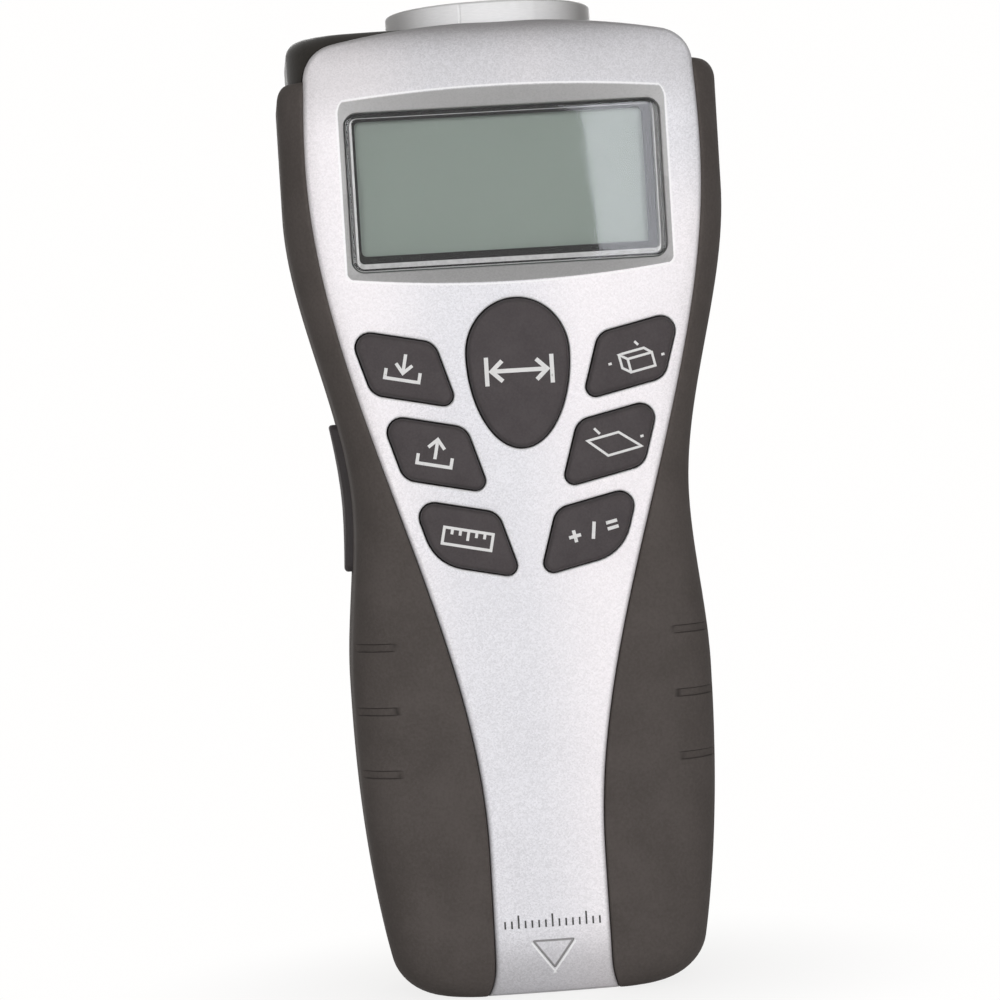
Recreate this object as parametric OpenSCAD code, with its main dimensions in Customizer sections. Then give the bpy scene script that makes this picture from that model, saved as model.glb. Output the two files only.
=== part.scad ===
// Handheld distance meter with a round sensor collar on its end, a display and seven keys.
// It stands on its base, which is the edge that a distance is measured from.
// X is the width, the face looks along -Y, and Z runs from the base to the sensor end.

/* [Case] */
// Height of the case, without the sensor collar
case_len = 144; // [140:0.5:175]
// Width across the grips at the head
head_w = 65.6; // [62:0.2:80]
// Width across the grips at the waist
waist_w = 50; // [48:0.2:62]
// Width across the grips in the palm
palm_w = 53.6; // [51:0.2:66]
// Width across the grips at the base
base_w = 44.4; // [43:0.2:56]
// From the middle plane forward to the crown of the face
face_depth = 18.5; // [18:0.1:23]
// From the middle plane back to the rear of the head
head_back = 19.4; // [19:0.1:24]
// From the middle plane back to the rear of the palm
palm_back = 15.5; // [15.5:0.1:19]
// Radius of the crown across the face
crown_r = 121; // [100:1:160]
// Wall of the plastic shells
wall = 2; // [1.6:0.1:2.4]
// Thickness of the rubber grips
grip_t = 1.8; // [1.4:0.1:2.2]
// Gap between two pieces that don't move
fit = 0.15; // [0.1:0.05:0.25]

/* [Face] */
// Width of the silver face at the head
face_w = 58.6; // [57:0.2:61]
// Width of the silver face towards its top edge
face_top_w = 56; // [52:0.2:57]
// Width of the silver face at its narrowest
throat_w = 17; // [14:0.1:20]
// Width of the silver face at the base
foot_w = 17.3; // [16:0.1:22]
// From the crown of the face back to the panel's rear edge
panel_depth = 9.5; // [9:0.1:11]
// Radius of the face's top corners
face_corner_r = 5.5; // [3:0.5:7]
// Radius of the arched top edge
arch_r = 130; // [110:5:200]

/* [Display] */
// Width of the window
window_w = 46.4; // [40:0.2:47]
// Height of the window
window_h = 23.2; // [18:0.2:25]
// Thickness of the window
window_t = 1.5; // [1:0.1:2]
// From the top of the case down to the window
window_drop = 12.8; // [11.5:0.1:14]
// From the crown of the face back to the window
window_sink = 2.3; // [2.2:0.1:2.6]
// Thickness of the display glass
lcd_t = 2.2; // [1.8:0.1:2.3]

/* [Keys] */
// How far the keys stand out of the face
key_proud = 0.9; // [0.6:0.1:1.4]
// How far a key goes in
key_travel = 0.9; // [0.5:0.1:0.9]
// Gap around a key
key_gap = 0.25; // [0.2:0.05:0.35]
// Width of the large key
read_w = 14.9; // [12:0.1:16]
// Height of the large key above its widest line
read_rise = 8.05; // [6:0.05:8.5]
// Height of the large key below its widest line
read_fall = 13.7; // [10:0.1:14.5]
// From the window down to the large key's widest line
read_drop = 13.25; // [13.25:0.05:13.8]
// Width of a side key along its slanted top edge
key_w = 12.2; // [9:0.1:12.4]
// How far that edge rises towards the outside
key_rise = 2.65; // [0:0.05:3]
// Height of a side key
key_h = 9.5; // [7:0.1:9.8]
// How far a side key leans outward over its height
key_lean = 2.9; // [0:0.1:3.2]
// From the middle to the top pair of keys
row_x = 16.85; // [16.5:0.05:17.2]
// From the window down to the top pair of keys
row_drop = 14.45; // [14.2:0.05:14.8]
// From one pair of keys down to the next
row_pitch = 12.7; // [12.4:0.1:13.2]
// How far each pair lies inward of the one above
row_shift = 3.9; // [3.5:0.1:4.1]

/* [Side key] */
// Length of the key on the side of the case
side_len = 22.5; // [16:0.5:24]
// Width of that key
side_w = 5; // [4:0.1:5.4]
// How far it stands out of the grip
side_proud = 1.2; // [0.8:0.1:1.6]
// How far it goes in
side_travel = 0.8; // [0.4:0.1:0.8]

/* [Sensor end] */
// Outer diameter of the sensor collar
collar_d = 31; // [29.5:0.1:32]
// How far the collar stands out of the case
collar_proud = 3; // [2:0.1:6]
// Diameter of the sound transducer
transducer_d = 16; // [14:0.1:16.4]
// Height of the sound transducer
transducer_h = 10.4; // [8:0.1:10.6]
// Diameter of the laser pointer's barrel
laser_d = 6.4; // [5:0.1:6.8]
// From the middle to the laser pointer
laser_x = 22; // [21.4:0.1:22.6]
// Length of the laser pointer's barrel
laser_len = 21; // [16:0.5:22]

/* [Battery] */
// Width of the battery
battery_w = 26.5; // [26:0.1:26.8]
// Thickness of the battery
battery_t = 17.5; // [16:0.1:17.5]
// Height of the battery's can
battery_h = 46; // [44:0.1:46.2]
// Width of the battery door
door_w = 30; // [30:0.1:31]
// Top of the battery door above the base
door_top = 59; // [58.5:0.1:60]
// Thickness of the battery door
door_t = 2; // [1.6:0.1:2.2]
// Radius of the door's hinge pins
hinge_r = 0.9; // [0.8:0.05:1]
// Radial play of the hinge pins
hinge_play = 0.06; // [0.04:0.01:0.1]

/* [Board] */
// Thickness of the circuit board
board_t = 1.6; // [1:0.1:1.6]
// From the inside of the walls in to the board's edge
board_inset = 1.8; // [1.8:0.1:2.6]
// Radius of the case screws
screw_r = 1.3; // [1:0.05:1.35]
// Radius of the board screws
board_screw_r = 0.95; // [0.8:0.05:1]

/* [Hidden] */
$fn = 48;
eps = 0.01;
far = 60;

// Heights of the outline's turning points
head_z = case_len - 25.8;
waist_z = case_len - 71.4;
palm_z = 0.647 * waist_z;
throat_z = 22;
brow_z = case_len - 19.8;
back_low_z = waist_z - 10.6;
back_high_z = waist_z + 21.4;

// Rounding of the case
base_taper = 2.3;
base_corner_r = 6.5;
top_corner_r = 2.6;
shell_top = case_len - 0.5;
base_roll_z = 9;
base_roll_y = 5;
top_roll_z = 7;
top_roll_y = 5;
side_roll = 6;
back_r = 5;
base_back_r = 4;
top_back_r = 2.5;

// Planes across the depth, from the face to the back
face_y = -face_depth;
panel_y = face_y + panel_depth;
board_y = panel_y + 0.1;
board_back = board_y + board_t;
split_y = 2;
grip_back_y = 9;

// Display
window_top = case_len - window_drop;
window_low = window_top - window_h;
window_z = window_low + window_h / 2;
window_r = 1.8;
window_y = face_y + window_sink;
ledge_w = 2.1;
ledge_t = 1.2;
gasket_t = 0.3;
seat_y = window_y + window_t;
ledge_back = seat_y + gasket_t + ledge_t;
lcd_y = ledge_back + 0.1;
lcd_w = window_w - 0.2;
lcd_h = window_h + 2.5;
lcd_rim = 4 - wall;
lcd_lip = 0.8;

// Keys
read_z = window_low - read_drop;
row_z = window_low - row_drop;
flange_w = 0.9;
flange_gap = 0.3;
flange_back = face_y + 6.1;
dome_h = 0.3;
dome_r = 3;
plunger_r = 2.4;
plunger_end = board_y - dome_h - key_travel - 0.2;
mat_t = 1.1;
mat_open_r = 3.7;
mark_d = 0.35;

// Grips
grip_top = case_len - 6.7;
left_drop = 0.7;
notch_z = [34.1, 43.4, 52.8];
notch_h = 1.3;
notch_d = 0.35;
notch_x = 19.5;
notch_back_y = panel_y - 1.5;

// Side key
side_z = waist_z + 2.2;
side_y = 5;
side_flange = 1;
side_pin_r = 1.5;
side_pin_len = 2;
switch_w = 6;
switch_t = 3.5;
switch_pin_r = 1.7;
switch_pin_len = 0.6;
side_pin_x = waist_w / 2 - grip_t - wall - flange_gap - side_flange - side_pin_len;
switch_x = side_pin_x - side_travel - 0.2;
side_board_t = 1.2;
side_board_h = 18;
side_board_w = 9;
side_board_x = switch_x - switch_pin_len - switch_t;

// Sensor end
collar_y = 1;
collar_r = collar_d / 2;
collar_t = 1.6;
collar_low = case_len - 4.5;
collar_flange_r = collar_r + 0.8;
collar_flange_t = 2.3;
shelf_top = collar_low - 0.2;
shelf_t = 2;
throat_r = transducer_d / 2 - 0.4;
boot_t = 0.8;
cup_r = transducer_d / 2 + boot_t + 0.1;
cup_wall = 1.1;
grille_t = 1;
grille_z = case_len - 7.9;
cup_low = grille_z - transducer_h - 0.7;
horn_top = case_len + collar_proud - 1.2;
horn_rim_r = collar_r - collar_t - 0.1;
laser_y = 1;
laser_top = shell_top - 2.5;
laser_window_r = laser_d / 2 + 0.2;
laser_window_t = 1.4;

// Battery, its bay and its door
bay_wall = 1.5;
bay_front_wall = 1.1;
battery_z = 8.8;
terminal_h = 2.4;
door_y = palm_back - door_t;
pad_t = 0.7;
battery_y = door_y - 0.2 - pad_t - battery_t / 2;
bay_half = battery_w / 2 + 0.45;
bay_low = battery_z - 0.4;
bay_high = battery_z + battery_h + 7.2;
bay_front = battery_y - battery_t / 2 - 0.15;
knuckle_r = door_t / 2 + 0.35;
hinge_y = palm_back - knuckle_r;
hinge_z = battery_z - 0.4;
door_gap = 0.25;
pin_len = 1.6;
lug_w = 2.6;
cap_t = 5.5;
cap_half = battery_t / 2 - 2.55;

// Circuit board
board_low = bay_high - 8.95;
board_high = window_z + 2.4;
board_clear = 4.6;

// Screws
case_screws_at = [[head_w / 2 - 8.3, window_z - 6.6], [19.5, 30]];
screw_seat_y = 8;
screw_len = 12;
screw_head_r = 2.4;
screw_head_t = 1.6;
boss_r = 2.8;
rib_t = 1.6;
bore_boss_r = 4;
board_screws_at = [[0, row_z - 18], [-7.5, bay_high - 4.95], [7.5, bay_high - 4.95]];
board_boss_r = 2.2;
board_head_r = 1.9;
board_head_t = 1;
board_screw_len = 5.6;

// Routes of the leads, from the part they feed to the board
battery_leads_at = [-3, 3];
battery_route = [[0, 0], [0.22, 0.1], [0.56, 1.2], [0.8, 3.6], [0.95, 6.5], [1, 9.5]];
sensor_leads_at = [-2.5, 2.5];
sensor_route = [[0, -0.1], [0, -1.4], [-2, -3.6], [-5.5, -6], [-7.7, -9]];
laser_route = [
  [0, 0, -0.1], [0, 0, -1.3], [0.1, -0.9, -2.7], [0.2, -2.6, -3.7], [0.4, -5, -4.1], [0.5, -7.6, -4.2]
];

// Outlines

// A soft step from 0 to 1
function smooth(t) = let (u = min(max(t, 0), 1)) u * u * (3 - 2 * u);

// How far an edge rounded over len has dropped by drop, at distance d from the end
function ease(d, len, drop) = drop * (1 - sqrt(1 - pow(max(0, 1 - d / len), 2)));

// Half the width across the grips at height z
function grip_half(z) =
  z < palm_z ? (palm_w - (palm_w - base_w) * pow((palm_z - max(z, 0)) / palm_z, base_taper)) / 2
  : z < waist_z ? (palm_w + (waist_w - palm_w) * smooth((z - palm_z) / (waist_z - palm_z))) / 2
  : (waist_w + (head_w - waist_w) * smooth((z - waist_z) / (head_z - waist_z))) / 2;

// Half the width of the silver face at height z
function face_half(z) =
  z < throat_z ? (throat_w + (foot_w - throat_w) * pow((throat_z - max(z, 0)) / throat_z, 2)) / 2
  : z < brow_z ? (throat_w + (face_w - throat_w) * smooth((z - throat_z) / (brow_z - throat_z))) / 2
  : (face_w - (face_w - face_top_w) * pow((z - brow_z) / (case_len - brow_z), 2)) / 2;

// Fall of the crowned face at distance x from the middle
function crown(x) = crown_r - sqrt(crown_r * crown_r - x * x);

function half_w(z, t) =
  grip_half(z) - t - ease(z, base_corner_r, base_corner_r)
  - ease(case_len - z, top_corner_r, top_corner_r);

function front_y(z, t) =
  face_y + t + ease(z, base_roll_z, base_roll_y) + ease(case_len - z, top_roll_z, top_roll_y);

function back_y(z, t) =
  palm_back + (head_back - palm_back) * smooth((z - back_low_z) / (back_high_z - back_low_z)) - t
  - ease(z, base_back_r, base_back_r) - ease(case_len - z, top_back_r, top_back_r);

// Right half of a cross-section of the case at height z, from the front to the back
function half_section(z, side, front, back, n) = let (
    w = half_w(z, side),
    x0 = w - side_roll,
    yf = front_y(z, front),
    yb = back_y(z, back)
  ) concat(
    [for (i = [0:n]) let (x = x0 * i / n) [x, yf + crown(x), z]],
    [for (i = [1:n]) let (a = 90 * i / n, x = x0 + side_roll * sin(a))
      [x, yf + crown(x) + side_roll * (1 - cos(a)), z]],
    [for (i = [0:n]) let (a = 90 * i / n)
      [w - back_r + back_r * cos(a), yb - back_r + back_r * sin(a), z]]
  );

function section(z, side, front, back, n) = let (
    right = half_section(z, side, front, back, n),
    last = len(right) - 1
  ) concat(right, [for (i = [last:-1:1]) [-right[i].x, right[i].y, z]]);

// Heights of the sections, close together where the ends are rounded
case_levels = concat(
  [for (f = [0, 0.05, 0.2, 0.5]) base_roll_z * f],
  [for (i = [0:13]) base_roll_z + (case_len - base_roll_z - top_roll_z) * i / 13],
  [for (f = [0.5, 0.2, 0.05, 0]) case_len - top_roll_z * f]
);
cavity_levels = [for (i = [0:14]) wall + (case_len - 2 * wall) * i / 14];

// A corner's arc, with the points before and after it
function corner(before, at, after, r, n) = let (
    a = (before - at) / norm(before - at),
    b = (after - at) / norm(after - at),
    half = acos(a * b) / 2,
    centre = at + (a + b) / norm(a + b) * r / sin(half),
    first = at + a * r / tan(half) - centre,
    last = at + b * r / tan(half) - centre,
    from = atan2(first.y, first.x),
    turn = (atan2(last.y, last.x) - from + 540) % 360 - 180
  ) [for (i = [0:n]) centre + r * [cos(from + turn * i / n), sin(from + turn * i / n)]];

// An outline with its corners rounded
function rounded(pts, radii, n = 5) = let (m = len(pts))
  [for (i = [0:m - 1]) each corner(pts[(i + m - 1) % m], pts[i], pts[(i + 1) % m], radii[i], n)];

// A convex outline moved outward by d
function grown(pts, d) = let (m = len(pts))
  [for (i = [0:m - 1]) let (
      a = (pts[(i + m - 1) % m] - pts[i]) / norm(pts[(i + m - 1) % m] - pts[i]),
      b = (pts[(i + 1) % m] - pts[i]) / norm(pts[(i + 1) % m] - pts[i])
    ) pts[i] - (a + b) / norm(a + b) * d / sin(acos(a * b) / 2)];

function rounded_rect(w, h, z, r) = rounded(
  [[-w / 2, z - h / 2], [w / 2, z - h / 2], [w / 2, z + h / 2], [-w / 2, z + h / 2]],
  [r, r, r, r]);

// The silver face's outline moved outward by g, starting at height low
function face_outline(g, low) = let (
    r = face_corner_r + g,
    arch_z = case_len - arch_r,
    xc = face_half(case_len - 8) + g - r,
    zc = arch_z + sqrt(pow(arch_r + g - r, 2) - xc * xc),
    end = atan2(zc - arch_z, xc),
    n = 24,
    right = concat(
      [for (i = [0:n - 1]) let (z = low + (zc - low) * i / n) [face_half(z) + g, z]],
      [for (i = [0:5]) [xc + r * cos(end * i / 5), zc + r * sin(end * i / 5)]],
      [for (i = [1:4]) let (a = end + (90 - end) * i / 4)
        [(arch_r + g) * cos(a), arch_z + (arch_r + g) * sin(a)]]),
    last = len(right) - 1
  ) concat(right, [for (i = [last - 1:-1:0]) [-right[i].x, right[i].y]]);

// The large key's egg moved outward by g
function egg(g) = [for (a = [0:10:350])
  [(read_w / 2 + g) * cos(a), read_z + ((a < 180 ? read_rise : read_fall) + g) * sin(a)]];

// A side key's corners on the right, where row 0 is the top pair
function key_centre(row) = [row_x - row_shift * row, row_z - row_pitch * row];
function key_corners(row) = let (
    c = key_centre(row),
    u = [key_w, key_rise] / 2,
    v = [key_lean, key_h] / 2
  ) [c - u - v, c + u - v, c + u + v, c - u + v];
function key_outline(row, g) = rounded(
  grown(key_corners(row), g),
  [1.3 + g, (row == 2 ? 6.5 : 2.6) + g, 2 + g, 2.6 + g]);

read_pin = [0, read_z - 2.5];
plungers = concat([read_pin],
  [for (row = [0:2], s = [-1, 1]) let (c = key_centre(row)) [s * c.x, c.y]]);

// Shapes that repeat

module loft(rings) {
  n = len(rings[0]);
  m = len(rings);
  polyhedron(
    points = [for (r = rings) each r],
    faces = concat(
      [[for (i = [0:n - 1]) i]],
      [[for (i = [n - 1:-1:0]) (m - 1) * n + i]],
      [for (k = [0:m - 2], j = [0:n - 1]) let (i = (j + 1) % n)
        each [[k * n + j, k * n + n + j, k * n + n + i], [k * n + j, k * n + n + i, k * n + i]]]));
}

// The outer form moved inward at its sides, front and back
module case_form(side, front, back = 0) {
  loft([for (z = case_levels) section(z, side, front, back, 4)]);
}

module case_cavity() {
  loft([for (z = cavity_levels) section(z, grip_t + wall, grip_t + wall, wall, 3)]);
}

// An outline in X and Z, drawn out along Y
module across(pts, y0, y1) {
  translate([0, y1, 0]) rotate([90, 0, 0]) linear_extrude(y1 - y0) polygon(pts);
}

// An outline in Y and Z, drawn out along X
module along(pts, x0, x1) {
  translate([x0, 0, 0]) rotate([90, 0, 90]) linear_extrude(x1 - x0) polygon(pts);
}

// A round pin along Y at a place given as X and Z
module pin(at, r, y0, y1) {
  translate([at.x, y1, at.y]) rotate([90, 0, 0]) cylinder(r = r, h = y1 - y0);
}

module box(x, y, z) {
  translate([x[0], y[0], z[0]]) cube([x[1] - x[0], y[1] - y[0], z[1] - z[0]]);
}

module both_sides() {
  for (s = [0, 1]) mirror([s, 0, 0]) children();
}

// Everything behind the crown moved outward by d
module crown_drum(d) {
  translate([0, face_y + crown_r, 0]) cylinder(r = crown_r + d, h = case_len, $fn = 180);
}

// The face's region, from its front back to y
module face_region(g, low, y) {
  across(face_outline(g, low), -far, y);
}

// A place on the sensor's axis
module at_sensor(z) {
  translate([0, collar_y, z]) children();
}

// Bores that the sensor collar and the laser pointer need in the shells
module end_bores() {
  at_sensor(collar_low - 0.2) {
    cylinder(r = collar_r + fit, h = far);
    cylinder(r = collar_flange_r + fit, h = collar_flange_t + 0.3);
  }
  translate([-laser_x, laser_y, laser_top + fit]) cylinder(r = laser_window_r + fit, h = far);
}

// The shelf under the collar, which also holds the laser pointer's barrel, and the low right shoulder
module end_shelf() {
  difference() {
    intersection() {
      case_form(grip_t + 0.5, grip_t + 0.5, 0.5);
      union() {
        box([-far, far], [panel_y + 0.5, far], [shelf_top - shelf_t, shelf_top]);
        box([collar_r, far], [panel_y + 0.5, far], [shelf_top - eps, case_len]);
      }
    }
    translate([0, collar_y, 0]) cylinder(r = cup_r + cup_wall + 1.6, h = far * 3);
    translate([-laser_x, laser_y, 0]) cylinder(r = laser_d / 2 + 0.05, h = far * 3);
  }
}

// What the shells lack above: a step below the silver face's top, and all of the right shoulder
// that lies beyond the face's outline above the grip
module shoulder_cut() {
  edge = [for (p = face_outline(-fit, 0)) if (p.x > collar_r - 4 && p.y > grip_top) p];
  across(concat([[far, grip_top], [face_half(grip_top) - fit, grip_top]], edge,
    [[collar_r - 4, far * 3], [far, far * 3]]), -far, far);
  box([-far, far], [-far, far], [shell_top, far * 3]);
}

// A tube of radius r along a route
module tube(route, r) {
  last = len(route) - 1;
  loft([for (i = [0:last]) let (
      d = route[min(i + 1, last)] - route[max(i - 1, 0)],
      u = d / norm(d),
      side = [1, 0, 0] - u * u.x,
      v = side / norm(side),
      w = cross(u, v)
    ) [for (a = [0:45:315]) route[i] + r * (cos(a) * v + sin(a) * w)]]);
}

// Shells

module face_panel() {
  color([0.86, 0.86, 0.88]) difference() {
    union() {
      difference() {
        intersection() {
          case_form(0, 0);
          face_region(0, 0, panel_y);
        }
        intersection() {
          case_form(0, wall);
          face_region(-wall, wall, panel_y + eps);
        }
      }
      window_surround();
      intersection() {
        case_form(0, 0);
        for (at = board_screws_at) pin(at, board_boss_r, -far, board_y - 0.1);
      }
    }
    window_cuts();
    key_cuts();
    for (at = board_screws_at) pin(at, board_screw_r, board_back - board_screw_len - 0.5, panel_y + eps);
    across([[-3.1, 8.9], [0, 4.5], [3.1, 8.9]], -far, face_y + mark_d);
    end_bores();
  }
}

// The keys' openings, and room behind the panel's wall for their flanges
module key_cuts() {
  room = flange_w + key_gap;
  across(egg(key_gap), -far, panel_y);
  for (row = [0:2]) both_sides() across(key_outline(row, key_gap), -far, panel_y);
  intersection() {
    crown_drum(-wall);
    union() {
      across(egg(room), -far, panel_y + eps);
      for (row = [0:2]) both_sides() across(key_outline(row, room), -far, panel_y + eps);
    }
  }
}

// The thick rim that the window sits in
module window_surround() {
  intersection() {
    case_form(0, 0);
    across(rounded_rect(window_w + 5, window_h + 7.6, window_z, 2.5), -far, ledge_back);
  }
}

// The sloping recess, the window's pocket and the opening behind it
module window_cuts() {
  half = window_h / 2 + fit;
  rise = window_sink + 1;
  along([[window_y, window_z - half], [window_y - rise, window_z - half - rise],
    [window_y - rise, window_z + half + rise], [window_y, window_z + half]],
    -window_w / 2 - fit, window_w / 2 + fit);
  across(rounded_rect(window_w + 2 * fit, window_h + 2 * fit, window_z, window_r),
    -far, seat_y + gasket_t);
  across(rounded_rect(window_w - 2 * ledge_w, window_h - 2 * ledge_w, window_z, 1),
    -far, panel_y);
}

module front_frame() {
  color([0.22, 0.21, 0.2]) difference() {
    union() {
      difference() {
        intersection() {
          case_form(grip_t, grip_t);
          box([-far, far], [-far, split_y], [-1, far * 3]);
        }
        case_cavity();
      }
      intersection() {
        end_shelf();
        box([-far, far], [-far, split_y], [0, far * 3]);
      }
      both_sides() {
        pin(case_screws_at[0], boss_r, panel_y + 0.2, split_y);
        intersection() {
          case_form(grip_t, grip_t);
          union() {
            pin(case_screws_at[1], boss_r, -far, split_y);
            boss_rib(case_screws_at[0]);
          }
        }
      }
    }
    face_region(fit, -1, panel_y);
    both_sides() for (at = case_screws_at) {
      pin(at, screw_r - 0.15, screw_seat_y - screw_len - 0.5, split_y + eps);
    }
    end_bores();
    shoulder_cut();
  }
}

// A rib that joins a boss to the side wall
module boss_rib(at) {
  box([at.x, far], [panel_y + 0.2, split_y], [at.y - rib_t / 2, at.y + rib_t / 2]);
}

module rear_cover() {
  color([0.24, 0.22, 0.2]) difference() {
    union() {
      difference() {
        intersection() {
          case_form(grip_t, grip_t);
          box([-far, far], [split_y, far], [-1, far * 3]);
        }
        case_cavity();
      }
      intersection() {
        end_shelf();
        box([-far, far], [split_y, far], [0, far * 3]);
      }
      intersection() {
        case_form(grip_t, grip_t);
        both_sides() for (at = case_screws_at) pin(at, bore_boss_r, split_y, far);
      }
      battery_bay();
      side_board_posts();
    }
    door_cuts();
    both_sides() for (at = case_screws_at) {
      pin(at, screw_r + 0.15, split_y - eps, far);
      pin(at, screw_head_r + 0.2, screw_seat_y, far);
    }
    side_key_slot(0);
    end_bores();
    shoulder_cut();
  }
}

// The walls around the battery, and the lugs beside the door's hinge
module battery_bay() {
  out = bay_half + bay_wall;
  difference() {
    union() {
      box([-out, out], [bay_front - bay_front_wall, door_y - 0.1], [bay_low - bay_wall, bay_high + bay_wall]);
      both_sides() box([out, door_w / 2 + lug_w], [door_y - 2.5, door_y + 1], [hinge_z - 3, hinge_z + 3]);
    }
    box([-bay_half, bay_half], [bay_front, door_y - 2.2], [bay_low, bay_high]);
    box([-bay_half, bay_half], [bay_front, far], [bay_low, door_top - 1.5]);
    box([-4.5, 4.5], [-far, battery_y - 7], [bay_high - 5, far * 2]);
  }
}

// The door's recess, its hinge pocket and the two pin bores
module door_cuts() {
  half = door_w / 2 + door_gap;
  box([-half, half], [door_y - 0.1, far], [hinge_z, door_top + door_gap]);
  box([-half, half], [hinge_y, far], [hinge_z - knuckle_r - 0.55, hinge_z]);
  hinge_rod(knuckle_r + 0.3, half);
  hinge_rod(hinge_r + hinge_play, door_w / 2 + pin_len + 0.3);
  box([-bay_half, bay_half], [bay_front, far], [bay_low, door_top - 1.5]);
}

// A rod on the hinge's axis, reaching out to x on both sides
module hinge_rod(r, x) {
  translate([-x, hinge_y, hinge_z]) rotate([0, 90, 0]) cylinder(r = r, h = 2 * x);
}

// Two slotted posts that hold the side switch's board
module side_board_posts() {
  inner = side_board_x - side_board_t;
  for (z = [-1, 1] * (side_board_h / 2 - 2)) difference() {
    intersection() {
      case_form(grip_t, grip_t);
      box([-side_board_x - 1.5, -inner + 1.5], [side_y + 3, far], [side_z + z - 1, side_z + z + 1]);
    }
    box([-side_board_x - 0.05, -inner + 0.05], [0, side_y + side_board_w / 2 + 0.05],
      [side_z + z - 2, side_z + z + 2]);
  }
}

module side_key_slot(extra) {
  half = side_w / 2 + key_gap + extra;
  reach = side_len / 2 + key_gap + extra;
  box([-far, -10], [side_y - half, side_y + half], [side_z - reach, side_z + reach]);
}

module right_grip() {
  color([0.31, 0.3, 0.29]) grip(grip_top);
}

module left_grip() {
  color([0.31, 0.3, 0.29]) difference() {
    mirror([1, 0, 0]) grip(grip_top - left_drop);
    side_key_slot(0.05);
  }
}

// The right grip: a rubber skin over the front corner and the side
module grip(top) {
  difference() {
    intersection() {
      case_form(0, 0);
      box([0, far], [-far, grip_back_y], [-1, top]);
    }
    case_form(grip_t - 0.05, grip_t - 0.05);
    face_region(fit, -1, grip_back_y + 1);
    difference() {
      for (z = notch_z) box([notch_x, far], [-far, notch_back_y], [z - notch_h / 2, z + notch_h / 2]);
      case_form(notch_d, notch_d);
    }
  }
}

// Sensor end

module sensor_collar() {
  color([0.78, 0.78, 0.8]) at_sensor(collar_low) difference() {
    union() {
      cylinder(r = collar_r, h = case_len + collar_proud - collar_low);
      cylinder(r = collar_flange_r, h = collar_flange_t);
    }
    translate([0, 0, -eps]) cylinder(r = collar_r - collar_t, h = far);
  }
}

module sensor_horn() {
  color([0.12, 0.12, 0.12]) at_sensor(0) rotate_extrude() polygon([
    [horn_rim_r, horn_top - 2], [horn_rim_r, horn_top], [horn_rim_r - 0.9, horn_top],
    [throat_r, grille_z + grille_t + 1], [throat_r, grille_z + grille_t],
    [cup_r, grille_z + grille_t], [cup_r, cup_low],
    [cup_r + cup_wall, cup_low], [cup_r + cup_wall, grille_z + grille_t + 0.4]]);
}

module transducer() {
  color([0.7, 0.71, 0.72]) at_sensor(grille_z - 0.2 - transducer_h) {
    cylinder(r = transducer_d / 2, h = transducer_h);
  }
}

module transducer_boot() {
  color([0.15, 0.15, 0.15]) at_sensor(cup_low + 0.1) difference() {
    cylinder(r = cup_r - 0.05, h = transducer_h + 0.3);
    translate([0, 0, -eps]) cylinder(r = transducer_d / 2 + 0.05, h = far);
  }
}

module transducer_grille() {
  step = 2.5;
  color([0.5, 0.5, 0.52]) at_sensor(grille_z) difference() {
    cylinder(r = cup_r - 0.05, h = grille_t - 0.05);
    translate([0, 0, -eps]) cylinder(r = 0.8, h = far);
    for (ring = [1:2], i = [0:6 * ring - 1]) {
      rotate(60 * i / ring) translate([step * ring, 0, -eps]) cylinder(r = 0.8, h = far);
    }
  }
}

module laser_window() {
  color([0.6, 0.15, 0.15]) translate([-laser_x, laser_y, shell_top - laser_window_t - 0.2]) {
    cylinder(r = laser_window_r, h = laser_window_t);
  }
}

module laser_module() {
  color([0.75, 0.62, 0.3]) translate([-laser_x, laser_y, laser_top - laser_len]) difference() {
    cylinder(r = laser_d / 2, h = laser_len);
    translate([0, 0, laser_len - 3]) cylinder(r = laser_d / 2 - 1, h = far);
  }
}

module laser_lens() {
  color([0.7, 0.8, 0.85]) translate([-laser_x, laser_y, laser_top - 3]) {
    cylinder(r = laser_d / 2 - 1.05, h = 2);
  }
}

// Display

module display_window() {
  color([0.55, 0.62, 0.58]) across(rounded_rect(window_w, window_h, window_z, window_r - fit),
    window_y, seat_y);
}

module window_gasket() {
  color([0.1, 0.1, 0.1]) difference() {
    across(rounded_rect(window_w, window_h, window_z, window_r - fit), seat_y, seat_y + gasket_t);
    across(rounded_rect(window_w - 2 * ledge_w, window_h - 2 * ledge_w, window_z, 1), -far, far);
  }
}

module lcd_panel() {
  color([0.52, 0.57, 0.54]) across(rounded_rect(lcd_w, lcd_h, window_z, 0.3), lcd_y, lcd_y + lcd_t);
}

module lcd_frame() {
  back = lcd_y + lcd_t + lcd_lip;
  color([0.85, 0.85, 0.83]) difference() {
    union() {
      across(rounded_rect(lcd_w + 2 * lcd_rim, lcd_h + 2 * lcd_rim, window_z, 1), lcd_y, back);
      for (s = [-1, 1]) pin([s * (lcd_w / 2 - 1), window_low + 2], 1.2, back - eps, board_y);
    }
    across(rounded_rect(lcd_w + 0.2, lcd_h + 0.2, window_z, 0.4), -far, lcd_y + lcd_t + 0.05);
    across(rounded_rect(lcd_w - 4, lcd_h + 0.2, window_z, 0.4), -far, far);
  }
}

module contact_strip() {
  color([0.75, 0.4, 0.45]) box([-lcd_w / 2 + 3, lcd_w / 2 - 3], [lcd_y + lcd_t, board_y],
    [window_low + 0.4, window_low + 2.2]);
}

// Circuit board and what it carries

// Half the board's width at height z, less where the case curves back in front of it
function board_half(z) =
  grip_half(z) - grip_t - wall - board_inset - max(0, crown(grip_half(z)) - board_clear);

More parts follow.
